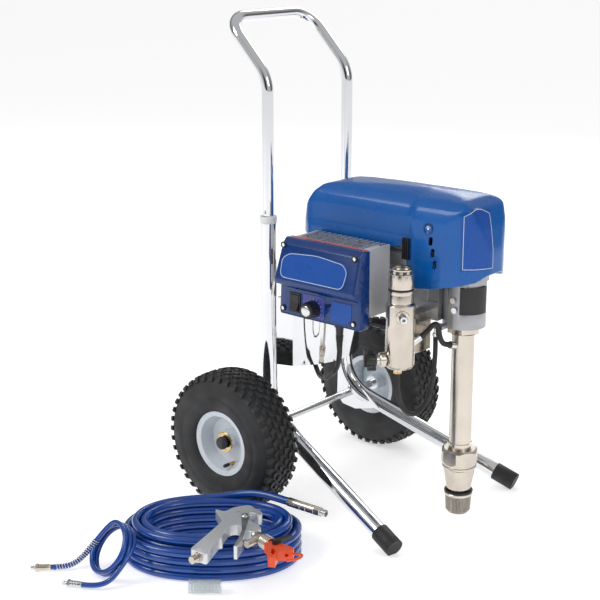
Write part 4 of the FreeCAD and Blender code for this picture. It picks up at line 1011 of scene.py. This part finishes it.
def pump():
    """O-rings and rings on the pump and its nut, the woven inlet cup, and small rounds on the edges of many
    CAD nodes.
    """
    x = 375
    at = place(x, 0, 0)
    turned("pump_seal", [(19, 64), (26.8, 64), (27.6, 65.4), (26.8, 66.8), (19, 66.8)], at, Z_AXIS,
           "black_rubber",
           "machine", 48)
    turned("valve_ring", [(31.2, 118), (32.4, 117), (32.4, 114), (30.8, 112)], at, Z_AXIS, "nickel",
           "machine",
           48)
    turned("nut_washer", [(21, 381), (27, 381), (27.6, 382), (27.6, 383.4), (21, 383.4)], at, Z_AXIS,
           "dark_casting", "machine", 48)
    turned("cylinder_ring", [(21.05, 158), (22.8, 158.6), (22.8, 163.4), (21.05, 164)], at, Z_AXIS,
           "nickel",
           "machine", 48)
    cup = [(18.6, 20.4), (23.6, 27), (25.1, 56)]
    core = turned("strainer_core", [(0, 20.6), (18, 20.6), (22.8, 27.4), (24.3, 56), (26.3, 60),
                                    (26.3, 63)], at,
                  Z_AXIS, "dark_casting", "machine", 48)
    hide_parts("inlet_strainer")
    for i in range(56):
        angle = 2 * math.pi * i / 56
        out = Vector((math.cos(angle), math.sin(angle), 0))
        line(f"mesh_wire_{i}", [at + out * r * MM + Z_AXIS * z * MM for r, z in cup], 0.00035,
             "turned_nickel",
             "machine")
    for i in range(15):
        share = i / 14
        height = 27 + 29 * share
        ring_at = at + Z_AXIS * height * MM
        radius = (23.6 + 1.5 * share) * MM
        ring = [ring_at + Vector((math.cos(a), math.sin(a), 0)) * radius
                for a in [2 * math.pi * k / 40 for k in range(40)]]
        line(f"mesh_ring_{i}", ring, 0.00035, "turned_nickel", "machine", cyclic=True)
    turned("strainer_rim", [(25.2, 55.5), (26.9, 57), (26.9, 61.5), (25.6, 63)], at, Z_AXIS, "nickel",
           "machine",
           48)
    turned("strainer_base", [(0, 19.9), (17.6, 19.9), (19.3, 20.8), (19.3, 22.2), (18, 22.6)], at, Z_AXIS,
           "nickel",
           "machine", 48)
    for node, width in (("bearing_housing", 2.5), ("gear_housing", 2.0), ("pump_nut", 1.2),
                        ("heat_sink", 0.8),
                        ("motor_cradle", 0.6), ("filter_cap", 0.8), ("manifold_body", 1.0),
                        ("foot_caps", 2.0),
                        ("handle_collars", 1.2), ("intake_valve", 0.7), ("gun_trigger", 0.8),
                        ("prime_knob", 1.2),
                        ("tip_guard", 2.0), ("spray_tip", 0.9), ("gun_head", 0.9), ("rocker_switch", 0.8),
                        ("hose_couplings", 0.6), ("pressure_knob", 1.0), ("axle_brackets", 0.8)):
        rounded(NODES[node], width)


# ------------------------------------------------------------ gun

def gun_frame():
    """The gun's own plane in the cart: origin, its two directions and its up."""
    turn = Matrix.Rotation(math.radians(-12.4), 3, "Z")
    return place(206, -440, 92), turn @ Vector((1, 0, 0)), turn @ Vector((0, 1, 0))


def gun():
    """A rounded cast body with a grip panel, a pivot, a nut and a hook; a ribbed clear guard tube."""
    at, along, up = gun_frame()
    outline = [(-64, -2), (-44, 6), (-50, 28), (-42, 58), (0, 58), (9, 50), (6, 42), (-4, 46), (-14, 40),
               (2, 24), (14, 22), (44, 22), (56, 16), (56, -4), (42, -6), (16, -8), (12, -22), (34, -50),
               (46, -58), (44, -64), (82, -114), (46, -124), (10, -60), (-14, -20), (-36, -12)]
    body = plate("gun_casting", round_corners(outline, 7, 4), at - Z_AXIS * 0.0098, along, up, 19.6,
                 "gun_alloy",
                 "gun", bevel=3.4)
    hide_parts("gun_body")
    rib = [(20, -62), (30, -70), (66, -112), (52, -116), (24, -76)]
    plate("gun_grip_panel", round_corners(rib, 4, 4), at + Z_AXIS * 0.0094, along, up, 1.3, "gun_alloy",
          "gun",
          bevel=0.6)
    boss = [(0, 2.4), (2.4, 2.4), (3, 1.6), (5.6, 1.6), (6.6, 0.4), (6.6, -2)]
    turned("gun_pivot", boss, at + (along * -3 + up * 22) * MM + Z_AXIS * 0.0125, Z_AXIS, "bright_steel",
           "gun",
           32)
    nut = [(7, 52), (9.9, 53), (9.9, 58), (9.2, 59), (9.9, 60), (9.9, 76), (12.6, 77.5), (12.9, 79)]
    for i in range(8):
        nut += [(12.9, 80 + 2.4 * i), (12.4, 81.2 + 2.4 * i)]
    nut += [(12.9, 99.5), (12, 101), (6, 101)]
    turned("gun_nut", nut, at + up * 5 * MM, along, "turned_nickel", "gun", 48)
    tube_along = Vector((0.7533, 0.6577, 0))
    tube = [(10.4, 0), (12.2, 0)]
    for i in range(11):
        tube += [(12.6, 1 + 5 * i), (12.6, 3 + 5 * i), (11.6, 4 + 5 * i), (11.6, 5.2 + 5 * i)]
    tube += [(12.2, 56), (10.4, 56)]
    clear = turned("clear_guard", tube, place(196, -548, 13), tube_along, "clear_plastic", "gun",
                   40, close=True)
    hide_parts("swivel_guard")
    hook = [at + (along * u + up * v) * MM for u,
            v in ((146, 18), (154, 30), (164, 24), (166, 8), (160, -6))]
    line("guard_hook", [point - Z_AXIS * 0.002 for point in hook], 0.0022, "orange_plastic", "gun",
         smooth=True)


make_finishes()
studio()
wear_slots()
hoses()
for wheel_name, wheel_side in (("right", -1), ("left", 1)):
    wheel(wheel_name, wheel_side)
shroud()
control_box()
manifold()
pump()
gun()

bpy.context.view_layer.update()
